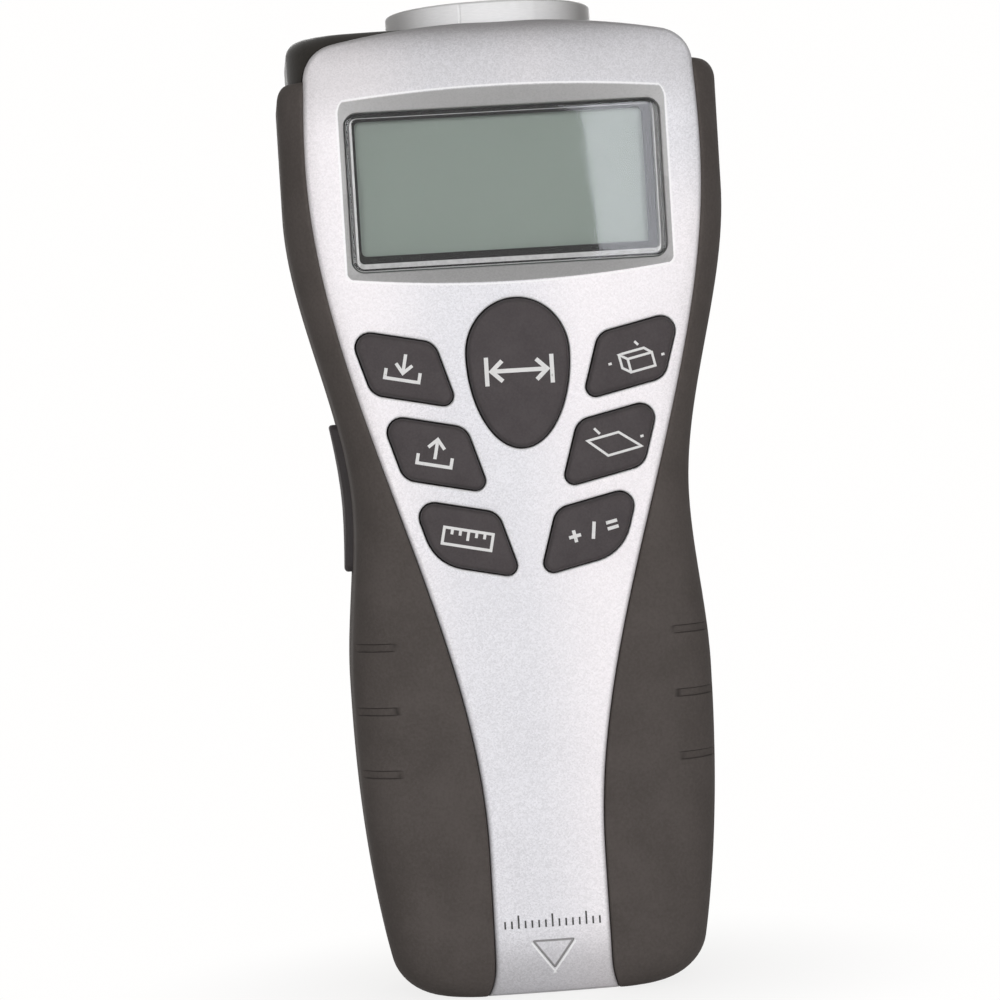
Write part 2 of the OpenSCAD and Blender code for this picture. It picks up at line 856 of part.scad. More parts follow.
module main_board() {
  n = 14;
  right = [for (i = [0:n]) let (z = board_low + (board_high - board_low) * i / n) [board_half(z), z]];
  color([0.1, 0.4, 0.2]) difference() {
    across(concat(right, [for (i = [n:-1:0]) [-right[i].x, right[i].y]]), board_y, board_back);
    for (at = board_screws_at) pin(at, board_screw_r + 0.2, -far, far);
    both_sides() pin(case_screws_at[0], boss_r + 0.5, -far, far);
  }
}

module board_chips() {
  color([0.15, 0.15, 0.16]) {
    box([3, 13], [board_back, board_back + 1.6], [read_z - 9, read_z + 1]);
    box([-15, -10], [board_back, board_back + 1.5], [read_z - 24, read_z - 18]);
    box([10, 15], [board_back, board_back + 1.5], [read_z - 24, read_z - 18]);
    box([-5, -1], [board_back, board_back + 1.5], [window_low, window_low + 8]);
  }
}

module drive_transformer() {
  color([0.55, 0.45, 0.2]) {
    box([8, 16], [board_back, board_back + 6], [window_low - 4, window_low + 4]);
  }
}

module board_capacitors() {
  color([0.2, 0.25, 0.4]) {
    for (x = [-17, -10]) pin([x, window_low + 4], 2.5, board_back, board_back + 6);
    pin([-4, read_z - 18], 2, board_back, board_back + 5);
  }
}

module buzzer() {
  color([0.1, 0.1, 0.1]) difference() {
    pin([-11, read_z - 3], 6, board_back, board_back + 4.5);
    pin([-11, read_z - 3], 1, board_back + 2, far);
  }
}

module snap_domes() {
  color([0.8, 0.8, 0.8]) for (at = plungers) pin(at, dome_r, board_y - dome_h, board_y);
}

module keypad_mat() {
  low = row_z - 33.2;
  high = window_low - 4.5;
  n = 12;
  right = [for (i = [0:n]) let (z = low + (high - low) * i / n)
    [min(face_half(z) - wall, board_half(z) + 0.8) - 0.4, z]];
  color([0.4, 0.4, 0.42]) difference() {
    across(concat(right, [for (i = [n:-1:0]) [-right[i].x, right[i].y]]), board_y - mat_t, board_y);
    for (at = plungers) pin(at, mat_open_r, -far, far);
    for (at = board_screws_at) pin(at, board_boss_r + 0.3, -far, far);
  }
}

// Keys

// A key with a flange behind the panel and a plunger over its snap dome
module key(outline, flange, at) {
  color([0.3, 0.29, 0.29]) {
    intersection() {
      across(outline, -far, flange_back);
      crown_drum(key_proud);
    }
    intersection() {
      across(flange, -far, flange_back);
      crown_drum(-wall - flange_gap);
    }
    pin(at, plunger_r, flange_back - eps, plunger_end);
  }
}

module left_key(row) {
  mirror([1, 0, 0]) right_key(row);
}

module right_key(row) {
  key(key_outline(row, 0), key_outline(row, flange_w), key_centre(row));
}

module read_key() {
  key(egg(0), egg(flange_w), read_pin);
}

module store_key() {
  left_key(0);
}

module recall_key() {
  left_key(1);
}

module unit_key() {
  left_key(2);
}

module volume_key() {
  right_key(0);
}

module area_key() {
  right_key(1);
}

module sum_key() {
  right_key(2);
}

// A band that follows the left grip, between two depths under its surface
module side_band(outer, inner, len, width) {
  n = 8;
  pts = [for (i = [0:n]) let (z = side_z - len / 2 + len * i / n) [grip_half(z), z]];
  across(concat(
      [for (i = [n:-1:0]) [-(pts[i].x - outer), pts[i].y]],
      [for (i = [0:n]) [-(pts[i].x - inner), pts[i].y]]),
    side_y - width / 2, side_y + width / 2);
}

module side_key() {
  flange = grip_t + wall + flange_gap;
  color([0.28, 0.27, 0.26]) {
    side_band(-side_proud, flange + eps, side_len, side_w);
    side_band(flange, flange + side_flange, side_len + 2, side_w + 2);
    translate([-side_pin_x - side_pin_len - 1.2, side_y, side_z]) {
      rotate([0, 90, 0]) cylinder(r = side_pin_r, h = side_pin_len + 1.2);
    }
  }
}

module side_switch() {
  color([0.12, 0.12, 0.12]) {
    box([-switch_x + switch_pin_len, -side_board_x],
      [side_y - switch_w / 2, side_y + switch_w / 2], [side_z - switch_w / 2, side_z + switch_w / 2]);
    translate([-switch_x, side_y, side_z]) {
      rotate([0, 90, 0]) cylinder(r = switch_pin_r, h = switch_pin_len + 1);
    }
  }
}

module side_board() {
  color([0.1, 0.4, 0.2]) box([-side_board_x, -side_board_x + side_board_t],
    [side_y - side_board_w / 2, side_y + side_board_w / 2],
    [side_z - side_board_h / 2, side_z + side_board_h / 2]);
}

// Battery

module battery() {
  color([0.2, 0.2, 0.22]) {
    translate([0, battery_y, battery_z]) {
      linear_extrude(battery_h) polygon(rounded_rect(battery_w, battery_t, 0, 2));
      for (s = [-1, 1]) translate([6.3 * s, 0, battery_h - eps]) cylinder(r = 3.1, h = terminal_h);
    }
  }
}

module battery_snap() {
  color([0.1, 0.1, 0.1]) translate([0, battery_y, battery_z + battery_h + 0.1]) difference() {
    box([-12.4, 12.4], [-cap_half, cap_half], [0, cap_t]);
    for (s = [-1, 1]) translate([6.3 * s, 0, -eps]) cylinder(r = 3.3, h = terminal_h + 0.2);
  }
}

module battery_leads() {
  from = battery_y - cap_half - 0.15;
  reach = board_back + 0.7 - from;
  color([0.6, 0.1, 0.1]) for (x = battery_leads_at) {
    tube([for (p = battery_route) [x, from + reach * p.x, battery_z + battery_h + 3 + p.y]], 0.6);
  }
}

module sensor_leads() {
  foot = grille_z - 0.2 - transducer_h;
  color([0.7, 0.6, 0.1]) for (x = sensor_leads_at) {
    tube([for (p = sensor_route) [x, collar_y + p.x, foot + p.y]], 0.5);
  }
}

module laser_lead() {
  foot = [-laser_x, laser_y, laser_top - laser_len];
  color([0.1, 0.1, 0.5]) tube([for (p = laser_route) foot + p], 0.6);
}

module battery_door() {
  half = door_w / 2;
  color([0.24, 0.22, 0.2]) {
    difference() {
      across(rounded([[-half, hinge_z], [half, hinge_z], [half, door_top], [-half, door_top]],
        [0.05, 0.05, 2.5, 2.5]), door_y, palm_back);
      for (i = [0:4]) box([-7, 7], [palm_back - 0.5, far], [door_top - 6 - 2 * i, door_top - 5 - 2 * i]);
    }
    hinge_rod(knuckle_r, half);
    hinge_rod(hinge_r, half + pin_len);
  }
}

module battery_pad() {
  color([0.3, 0.3, 0.3]) box([-9, 9], [door_y - pad_t, door_y], [battery_z + 10, battery_z + 38]);
}

// Fasteners

module case_screws() {
  color([0.6, 0.6, 0.6]) both_sides() for (at = case_screws_at) {
    pin(at, screw_r - 0.2, screw_seat_y - screw_len, screw_seat_y + eps);
    difference() {
      pin(at, screw_head_r, screw_seat_y, screw_seat_y + screw_head_t);
      for (a = [0, 90]) translate([at.x, screw_seat_y + screw_head_t, at.y]) rotate([0, a, 0]) {
        cube([3.2, 1.4, 0.7], center = true);
      }
    }
  }
}

module board_screws() {
  color([0.7, 0.7, 0.7]) for (at = board_screws_at) {
    pin(at, board_screw_r - 0.1, board_back - board_screw_len, board_back + eps);
    difference() {
      pin(at, board_head_r, board_back, board_back + board_head_t);
      translate([at.x, board_back + board_head_t, at.y]) cube([2.6, 0.8, 0.6], center = true);
    }
  }
}

face_panel();
front_frame();
rear_cover();
left_grip();
right_grip();
sensor_collar();
sensor_horn();
transducer();
transducer_boot();
transducer_grille();
laser_window();
laser_module();
laser_lens();
display_window();
window_gasket();
lcd_panel();
lcd_frame();
contact_strip();
main_board();
board_chips();
drive_transformer();
board_capacitors();
buzzer();
snap_domes();
keypad_mat();
read_key();
store_key();
recall_key();
unit_key();
volume_key();
area_key();
sum_key();
side_key();
side_switch();
side_board();
battery();
battery_snap();
battery_leads();
sensor_leads();
laser_lead();
battery_door();
battery_pad();
case_screws();
board_screws();
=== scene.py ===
import math
import bpy
from mathutils import Matrix, Vector


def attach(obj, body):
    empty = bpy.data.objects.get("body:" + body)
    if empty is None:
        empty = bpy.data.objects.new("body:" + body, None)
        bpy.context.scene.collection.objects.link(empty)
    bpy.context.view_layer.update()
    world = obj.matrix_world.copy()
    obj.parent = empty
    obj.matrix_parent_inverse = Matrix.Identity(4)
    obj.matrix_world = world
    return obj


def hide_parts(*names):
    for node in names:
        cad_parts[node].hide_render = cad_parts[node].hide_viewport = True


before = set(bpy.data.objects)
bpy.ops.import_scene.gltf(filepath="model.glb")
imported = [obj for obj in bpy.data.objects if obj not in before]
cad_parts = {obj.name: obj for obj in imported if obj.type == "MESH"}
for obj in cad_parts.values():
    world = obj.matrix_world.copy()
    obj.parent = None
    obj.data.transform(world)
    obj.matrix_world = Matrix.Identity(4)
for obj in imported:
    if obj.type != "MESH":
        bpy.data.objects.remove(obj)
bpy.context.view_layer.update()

view_turn = math.radians(-4.1)
view_tilt = math.radians(1.25)
view_lean = math.radians(-3.515)
distance = 0.52
aimed_at = Vector((0, 0, 0.076))
shift_across = -0.0026
shift_up = -0.0029
pixels_per_metre = 6584
picture_width = 1000
film_width = 36
flat = math.cos(view_tilt)
backward = Vector((math.sin(view_turn) * flat, -math.cos(view_turn) * flat, math.sin(view_tilt)))
across = (-backward).cross(Vector((0, 0, 1))).normalized()
upward = across.cross(-backward)
eye = aimed_at + distance * backward + shift_across * across + shift_up * upward
picture_x = math.cos(view_lean) * across + math.sin(view_lean) * upward
picture_y = math.cos(view_lean) * upward - math.sin(view_lean) * across
optics = bpy.data.cameras.new("camera")
optics.sensor_width = film_width
optics.lens = film_width * pixels_per_metre * distance / picture_width
optics.clip_start = 0.01
camera = bpy.data.objects.new("camera", optics)
pointed = Matrix((picture_x, picture_y, backward)).transposed().to_4x4()
camera.matrix_world = Matrix.Translation(eye) @ pointed
bpy.context.scene.collection.objects.link(camera)
bpy.context.scene.camera = camera
bpy.context.scene.view_settings.view_transform = "Standard"


# Studio: a sheet of pale paper under the meter, white all round, two wide soft lamps in front, one behind,
# a weak one above, and a narrow lamp that draws the bright band on the display window.
class Shade:
    """A value inside a node tree, which Python sums can be written with."""

    def __init__(self, tree, socket=None):
        self.tree = tree
        self.socket = socket

    def node(self, kind, inputs, out=0, **settings):
        """A new node: its type, the values or links of its sockets, the output wanted and its settings."""
        made = self.tree.nodes.new(kind)
        for name, value in settings.items():
            setattr(made, name, value)
        for name, value in inputs.items():
            if isinstance(value, Shade):
                self.tree.links.new(value.socket, made.inputs[name])
            else:
                made.inputs[name].default_value = value
        return Shade(self.tree, made.outputs[out])

    def sum(self, operation, *others):
        return self.node("ShaderNodeMath", dict(enumerate((self,) + others)), operation=operation)

    def __add__(self, other):
        return self.sum("ADD", other)

    def __sub__(self, other):
        return self.sum("SUBTRACT", other)

    def __rsub__(self, other):
        return self.sum("MULTIPLY_ADD", -1.0, other)

    def __mul__(self, other):
        return self.sum("MULTIPLY", other)

    def blend(self, first, second):
        """From the first colour to the second as this value goes from 0 to 1."""
        return self.node("ShaderNodeMix", {0: self, 6: first, 7: second}, 2, data_type="RGBA")

    def ramp(self, low, high):
        """0 below low, 1 above high, and soft in between."""
        limits = {0: self, 1: low, 2: high}
        return self.node("ShaderNodeMapRange", limits, interpolation_type="SMOOTHSTEP")

    def noise(self, scale, detail=2.0, rough=0.5):
        """Cloudy grain on these coordinates, with that many waves to the metre."""
        inputs = {"Vector": self, "Scale": scale, "Detail": detail, "Roughness": rough}
        return self.node("ShaderNodeTexNoise", inputs, "Fac")

    def cells(self, scale, out="Distance", feature="F1"):
        """Small cells on these coordinates, with that many to the metre."""
        return self.node("ShaderNodeTexVoronoi", {"Vector": self, "Scale": scale}, out, feature=feature)

    def axis(self, number):
        """One of the three numbers of this vector."""
        return self.node("ShaderNodeSeparateXYZ", {0: self}, number)

    def vector(self, x=0.0, y=0.0, z=0.0):
        """A vector in the same tree."""
        return self.node("ShaderNodeCombineXYZ", {0: x, 1: y, 2: z})

    def worn(self):
        """The mesh's edge wear and painted light, below 0 where shade is painted."""
        return self.node("ShaderNodeAttribute", {}, "Fac", attribute_name="edge_wear_and_painted_light")

    def ray(self, kind):
        """1 for a ray of that kind."""
        return self.node("ShaderNodeLightPath", {}, "Is " + kind + " Ray")


def grey(level, warm=0.0):
    return (level * (1 + warm), level, level * (1 - warm), 1)


def background_ray(shade):
    """1 for a ray that shows the background to the camera, straight or in glass or a gloss."""
    return (shade.ray("Camera") + shade.ray("Glossy") + shade.ray("Transmission")).sum("MINIMUM", 1.0)


def finish(name, sockets):
    """A new material: its object coordinates and its shader, with the plain sockets set."""
    material = bpy.data.materials.new(name)
    material.use_nodes = True
    shader = material.node_tree.nodes["Principled BSDF"]
    for socket, value in sockets.items():
        shader.inputs[socket].default_value = value
    place = Shade(material.node_tree).node("ShaderNodeTexCoord", {}, "Object")
    return material, place, shader


def mixed(material, share, first, second):
    """Ends a material in two shaders, the second one in that share."""
    mix = share.node("ShaderNodeMixShader", {0: share, 1: first, 2: second})
    mix.tree.links.new(mix.socket, material.node_tree.nodes["Material Output"].inputs["Surface"])


studio_white = (1, 0.995, 0.99, 1)
ambient = 0.25
world = bpy.data.worlds.new("studio")
bpy.context.scene.world = world
world.use_nodes = True
sky_level = background_ray(Shade(world.node_tree)) * (1 - ambient) + ambient
sky = world.node_tree.nodes["Background"]
sky.inputs["Color"].default_value = studio_white
world.node_tree.links.new(sky_level.socket, sky.inputs["Strength"])

paper, place, _ = finish("paper_sheet", {})
fibres = place.noise(900.0, 3.0).blend(grey(0.88, 0.005), grey(0.93, 0.005))
away = place.node("ShaderNodeVectorMath", {0: place}, "Value", operation="LENGTH").ramp(0.012, 0.07)
matt = place.node("ShaderNodeBsdfDiffuse", {"Color": fibres})
glow = place.node("ShaderNodeEmission", {"Color": studio_white, "Strength": 1.0})
mixed(paper, background_ray(place) * (away * 0.18 + 0.82), matt, glow)
reach = 4
ground = bpy.data.meshes.new("floor")
corners = [(-reach, -reach, 0), (reach, -reach, 0), (reach, reach, 0), (-reach, reach, 0)]
ground.from_pydata(corners, [], [(0, 1, 2, 3)])
ground.materials.append(paper)
floor = bpy.data.objects.new("floor", ground)
bpy.context.scene.collection.objects.link(floor)


def lamp(name, place, target, size, power, colour=(1, 1, 1), tip=0.0):
    """A soft rectangular lamp that faces its target, tipped sideways by an angle in degrees."""
    light = bpy.data.lights.new(name, "AREA")
    light.color = colour
    light.shape = "RECTANGLE"
    light.size = size[0]
    light.size_y = size[1]
    light.energy = power
    holder = bpy.data.objects.new(name, light)
    aim = (Vector(target) - Vector(place)).to_track_quat("-Z", "Y")
    tipped = Matrix.Rotation(math.radians(tip), 4, "Y") @ aim.to_matrix().to_4x4()
    holder.matrix_world = Matrix.Translation(place) @ tipped
    bpy.context.scene.collection.objects.link(holder)


lamp("left_lamp", (-0.4, -1.2, 0.2), (0, 0, 0.08), (0.7, 0.5), 6.0)
lamp("right_lamp", (0.44, -1.15, 0.16), (0, 0, 0.08), (0.46, 0.45), 4.7)
lamp("top_lamp", (0, -0.35, 1.2), (0, 0, 0.1), (0.8, 0.5), 0.3)
lamp("back_lamp", (0.15, 1.2, 0.5), (0, 0, 0.08), (0.9, 0.6), 5.0)
lamp("window_lamp", (0.148, -1.05, 0.24), (0.01, 0, 0.12), (0.062, 0.3), 0.36, (0.9, 0.92, 1), -4.0)


# Face panel: the thin silver shell with the display opening and the seven key openings. Injection
# moulded plastic, sprayed with a fine metallic paint, and snapped into the front frame. From here on
# the sizes of shapes are in millimetres, and those of finishes and Geometry Nodes in metres.
import bmesh
import numpy as np
from mathutils.geometry import delaunay_2d_cdt
from mathutils.kdtree import KDTree

case_len = 144.0
shell_top = 143.5
wall = 2.0
face_y = -18.5
crown_r = 121.0
panel_y = -9.0
base_r = 6.5
top_r = 2.6
side_r = 6
base_fall = (9, 5)
top_fall = (7, 5)
palm_z = 46.97
palm_w = 53.6
base_in = 9.2
waist_z = 72.6
waist_w = 50
waist_in = 3.6
waist_rise = 25.63
head_out = 15.6
head_rise = 45.6
foot_w = 17
foot_out = 0.3
toe_z = 6
toe_out = 2.2
stem_z = 22
brow_z = 124.2
brow_w = 58.6
brow_out = 41.6
brow_rise = 102.2
top_in = 2.6
top_rise = 19.8
corner_r = 5.5
corner_z = 136
arch_r = 130
arch_z = 14
window_z = 119.6
window_half = (23.2, 11.6)
window_y = -16.2
window_r = 1.8
recess_side = 0.75
recess_round = 1.5
recess_least = 0.35
reach_above = (2.66, 0.41)
reach_below = (2.5, 0.65)
bulge_half = 15
rub_w = 0.17
fit = 0.15
key_gap = 0.25
read_z = 94.75
read_half = 7.45
read_up = 8.05
read_down = 13.7
read_mark_z = 92.3
read_plunger_z = 92.25
first_key = np.array((16.85, 93.55))
key_step = np.array((3.9, 12.7))
key_run = np.array((6.1, 1.325))
key_rise = np.array((1.45, 4.75))
last_key_r = 6.5
mark_half = 3.25
mark_z = (4.15, 8.6)
mark_r = 0.2
mark_normal = (0.808, 0.59)
mark_rub_z = (3.6, 8.2)
sensor_at = (0.0, 1.0)
sensor_bore_r = 15.8


def pairs(first, second):
    """Points from two rows of numbers."""
    return np.stack([first, second], 1)


def unit(ways):
    return ways / np.linalg.norm(ways, axis=1)[:, None]


def soft_step(t):
    u = np.clip(t, 0, 1)
    return u * u * (3 - 2 * u)


def rolled(d, length, drop):
    """How far an edge rounded over that length has dropped at distance d from its end."""
    return drop * (1 - np.sqrt(1 - np.clip(1 - d / length, 0, 1) ** 2))


def below(z, level):
    """0 above a level, rising to 1 at the base."""
    return np.clip((level - z) / level, 0, 1)


def grip_half(z):
    """Half the width over the grips at height z."""
    low = palm_w - base_in * below(z, palm_z) ** 2.3
    mid = palm_w - waist_in * soft_step((z - palm_z) / waist_rise)
    high = waist_w + head_out * soft_step((z - waist_z) / head_rise)
    return np.where(z < palm_z, low, np.where(z < waist_z, mid, high)) / 2


def face_half(z):
    """Half the width of the silver face at height z."""
    low = foot_w + foot_out * below(z, stem_z) ** 2 + toe_out * below(z, toe_z) ** 2.5
    mid = foot_w + brow_out * soft_step((z - stem_z) / brow_rise)
    high = brow_w - top_in * np.clip((z - brow_z) / top_rise, 0, 1) ** 2
    return np.where(z < stem_z, low, np.where(z < brow_z, mid, high)) / 2


def half_width(z, inset=0.0):
    """Half the width of the case, moved inward, with its rounded base and top."""
    return grip_half(z) - inset - rolled(z, base_r, base_r) - rolled(shell_top - z, top_r, top_r)


def case_front(x, z, inset=0.0):
    """Depth of the case's front at a place, with its crown and its rolled sides and ends."""
    crown = crown_r - np.sqrt(crown_r ** 2 - x ** 2)
    ends = rolled(z, *base_fall) + rolled(case_len - z, *top_fall)
    over = np.clip((np.abs(x) - half_width(z, inset) + side_r) / side_r, 0, 1)
    return face_y + inset + crown + ends + side_r * (1 - np.sqrt(1 - over ** 2))


def face_corner(g):
    """The silver face's rounded top corner, moved outward by g: its radius and its middle."""
    r = corner_r + g
    x = float(face_half(corner_z)) + g - r
    return r, x, arch_z + math.sqrt((arch_r + g - r) ** 2 - x ** 2)


def face_outline(g):
    """The silver face's outline moved outward by g, as points in X and Z."""
    r, xc, zc = face_corner(g)
    arch = arch_r + g
    swung = math.atan2(zc - arch_z, xc)
    z = np.concatenate([np.linspace(-g, 10, 16)[:-1], np.linspace(10, zc, 95)])
    a = np.linspace(0, swung, 14)[1:]
    b = np.linspace(swung, math.pi / 2, 26)[1:]
    x = np.concatenate([face_half(z) + g, xc + r * np.cos(a), arch * np.cos(b)])
    z = np.concatenate([z, zc + r * np.sin(a), arch_z + arch * np.sin(b)])
    foot = np.linspace(-x[0], x[0], 14)[1:-1]
    x = np.concatenate([x, -x[-2::-1], foot])
    z = np.concatenate([z, z[-2::-1], np.full(len(foot), -g)])
    return pairs(x, z)


def corner_arms(corners, i):
    """A corner, the ways to the ones before and after it, the way between them and half their angle."""
    at = np.array(corners[i], float)
    a = np.array(corners[i - 1], float) - at
    b = np.array(corners[(i + 1) % len(corners)], float) - at
    a /= np.linalg.norm(a)
    b /= np.linalg.norm(b)
    return at, a, b, (a + b) / np.linalg.norm(a + b), math.acos(np.clip(a @ b, -1, 1)) / 2


def rounded(corners, radii, arc=8, straight=8):
    """A closed outline with its corners rounded and its straight sides divided."""
    runs = []
    for i, r in enumerate(radii):
        at, a, b, inward, half = corner_arms(corners, i)
        centre = at + inward * r / math.sin(half)
        first = at + a * r / math.tan(half) - centre
        last = at + b * r / math.tan(half) - centre
        start = math.atan2(first[1], first[0])
        swing = (math.atan2(last[1], last[0]) - start + 3 * math.pi) % (2 * math.pi) - math.pi
        t = start + swing * np.linspace(0, 1, arc)
        runs.append(centre + r * pairs(np.cos(t), np.sin(t)))
    points = []
    steps = np.linspace(0, 1, straight + 1)[1:-1, None]
    for run, following in zip(runs, runs[1:] + runs[:1]):
        points.extend([run, run[-1] + steps * (following[0] - run[-1])])
    return np.concatenate(points)


def grown(corners, d):
    """Corners of a convex outline moved outward by d."""
    arms = [corner_arms(corners, i) for i in range(len(corners))]
    return [at - inward * d / math.sin(half) for at, _, _, inward, half in arms]


def oblong(half, middle, radii, g=0.0, straight=20):
    """A rounded rectangle moved outward by g, with one radius or one for each corner."""
    x = half[0] + g
    z = half[1] + g
    corners = np.array([(-x, -z), (x, -z), (x, z), (-x, z)]) + middle
    return rounded(corners, np.broadcast_to(radii, 4) + g, 8, straight)


def window_outline(g):
    return oblong(window_half, (0, window_z), window_r, g)


def egg(g):
    """The large key's outline moved outward by g."""
    a = np.linspace(0, 2 * math.pi, 97)[:-1]
    tall = np.where(np.sin(a) > 0, read_up, read_down) + g
    return pairs((read_half + g) * np.cos(a), read_z + tall * np.sin(a))


def key_outline(row, side, g):
    """A side key's outline moved outward by g; rows count from the top, side is 1 on the right."""
    at = first_key - key_step * row
    u = key_run
    v = key_rise
    corners = grown([at - u - v, at + u - v, at + u + v, at - u + v], g)
    radii = np.array((1.3, last_key_r if row == 2 else 2.6, 2, 2.6)) + g
    return rounded(corners, radii) * (side, 1)


def base_mark(g):
    """The small triangle engraved above the base, which points at the edge measured from."""
    corners = [(-mark_half, mark_z[1]), (0, mark_z[0]), (mark_half, mark_z[1])]
    return rounded(grown(corners, g), [max(mark_r + g, 0.05)] * 3, 5, 12)


def recess_reach(x, z):
    """How far the recess round the window slopes out, above the window and below it."""
    bulge = (np.clip(np.abs(x), 0, window_half[0]) / bulge_half) ** 2
    upper = reach_above[0] - reach_above[1] * bulge
    return np.where(z > window_z, upper, reach_below[0] - reach_below[1] * bulge)


def recess_share(p):
    """0 at the window's edge, 1 where its recess meets the face, and the distance from the window."""
    beside = np.maximum(np.abs(p[:, 0]) - window_half[0] - fit, 0)
    above = np.maximum(np.abs(p[:, 1] - window_z) - window_half[1] - fit, 0)
    reach = recess_reach(p[:, 0], p[:, 1])
    share = (beside / recess_side) ** recess_round + (above / reach) ** recess_round
    return share ** (1 / recess_round), np.hypot(beside, above)


def face_top(p):
    """Depth of the silver face at a place, with the sloping recess round the window."""
    front = case_front(p[:, 0], p[:, 1])
    down = 1 - recess_share(p)[0]
    return front + np.maximum(window_y - front, recess_least) * (down + np.sqrt(down ** 2 + 0.0004)) / 2


def face_rub(p):
    """1 on the fine painted highlight lines, at the recess's edge and below the triangle."""
    share, distance = recess_share(p)
    outside = distance * (1 - 1 / np.maximum(share, 0.01))
    rub = np.clip(1 - np.abs(outside - rub_w) / rub_w, 0, 1)
    below_mark = mark_normal[0] * np.abs(p[:, 0]) - mark_normal[1] * (p[:, 1] - mark_z[0])
    near_mark = (p[:, 1] > mark_rub_z[0]) & (p[:, 1] < mark_rub_z[1])
    return rub + near_mark * np.clip(1.2 - np.abs(below_mark - 0.2) / rub_w, 0, 0.8)


def moved(loop, g):
    """A closed outline moved outward by g along its own normals."""
    along = unit(np.roll(loop, -1, 0) - np.roll(loop, 1, 0))
    return loop + g * pairs(along[:, 1], -along[:, 0])


def recess_edge():
    """The outline along which the recess meets the face."""
    half = window_half[0] + fit
    low = window_z - window_half[1] - fit
    high = window_z + window_half[1] + fit
    x = np.linspace(-half, half, 160)
    bend = np.linspace(0, math.pi / 2, 9)[1:-1]
    out = np.sin(bend) ** (2 / recess_round)
    up = np.cos(bend) ** (2 / recess_round)
    under = pairs(x, low - recess_reach(x, low))
    over = pairs(x[::-1], high + recess_reach(x[::-1], high))
    rise = np.linspace(low, high, 76)
    corner = pairs(half + recess_side * out, low - recess_reach(half, low) * up)
    upper = pairs(half + recess_side * up, high + recess_reach(half, high) * out)
    right = np.concatenate([corner, pairs(np.full(76, half + recess_side), rise), upper])
    return np.concatenate([under, right, over, right[::-1] * (-1, 1)])


def within(loops, points):
    """Which points lie inside the first closed outline and outside the others."""
    hits = []
    for loop in loops:
        hit = np.zeros(len(points), bool)
        for (x0, z0), (x1, z1) in zip(loop, np.roll(loop, -1, 0)):
            if z0 != z1:
                cross = x0 + (points[:, 1] - z0) * (x1 - x0) / (z1 - z0)
                hit ^= ((z0 > points[:, 1]) != (z1 > points[:, 1])) & (points[:, 0] < cross)
        hits.append(hit)
    return hits[0] & ~np.any(hits[1:], 0)


class Shell:
    """Points and faces of a piece while it is being made, in millimetres."""

    def __init__(self):
        self.points = []
        self.faces = []
        self.worn = []

    def ring(self, loop, y, worn=0.0):
        """A ring over an outline in X and Z, at depth y."""
        first = len(self.points)
        depths = np.broadcast_to(y, len(loop))
        self.points.extend((float(p[0]), float(d), float(p[1])) for p, d in zip(loop, depths))
        self.worn.extend(float(w) for w in np.broadcast_to(worn, len(loop)))
        return list(range(first, len(self.points)))

    def rows(self, *rings, closed=True):
        """Faces between each ring and the next."""
        for a, b in zip(rings, rings[1:]):
            for i in range(len(a) if closed else len(a) - 1):
                j = (i + 1) % len(a)
                self.faces.append((a[i], a[j], b[j], b[i]))

    def cap(self, ring):
        """A fan that closes a ring at its middle."""
        middle = np.mean([self.points[i] for i in ring], 0)
        self.points.append(tuple(float(c) for c in middle))
        self.worn.append(0.0)
        hub = len(self.points) - 1
        for i in range(len(ring)):
            self.faces.append((ring[i], ring[(i + 1) % len(ring)], hub))

    def add(self, other):
        base = len(self.points)
        self.points.extend(other.points)
        self.worn.extend(other.worn)
        self.faces.extend(tuple(i + base for i in face) for face in other.faces)
        return self


def loft(steps, ends="fans", axis="Y"):
    """A shell along outlines at their places on an axis. Its ends are fans, flats, joined or open."""
    shell = Shell()
    rings = [shell.ring(*step) for step in steps]
    shell.rows(*rings, *(rings[:1] if ends == "joined" else []))
    if ends == "fans":
        shell.cap(rings[0])
        shell.cap(rings[-1])
    if ends == "flats":
        shell.faces.append(tuple(rings[0]))
        shell.faces.append(tuple(reversed(rings[-1])))
    order = {"X": (1, 0, 2), "Y": (0, 1, 2), "Z": (0, 2, 1)}[axis]
    shell.points = [tuple(point[i] for i in order) for point in shell.points]
    return shell


def quarter(r):
    """Steps of a rounded edge: how far in from the side, how far down from the top, and how far round."""
    angles = [math.radians(a) for a in range(0, 91, 15)]
    return [(r * (1 - math.sin(a)), r * (1 - math.cos(a)), math.sin(a)) for a in angles]


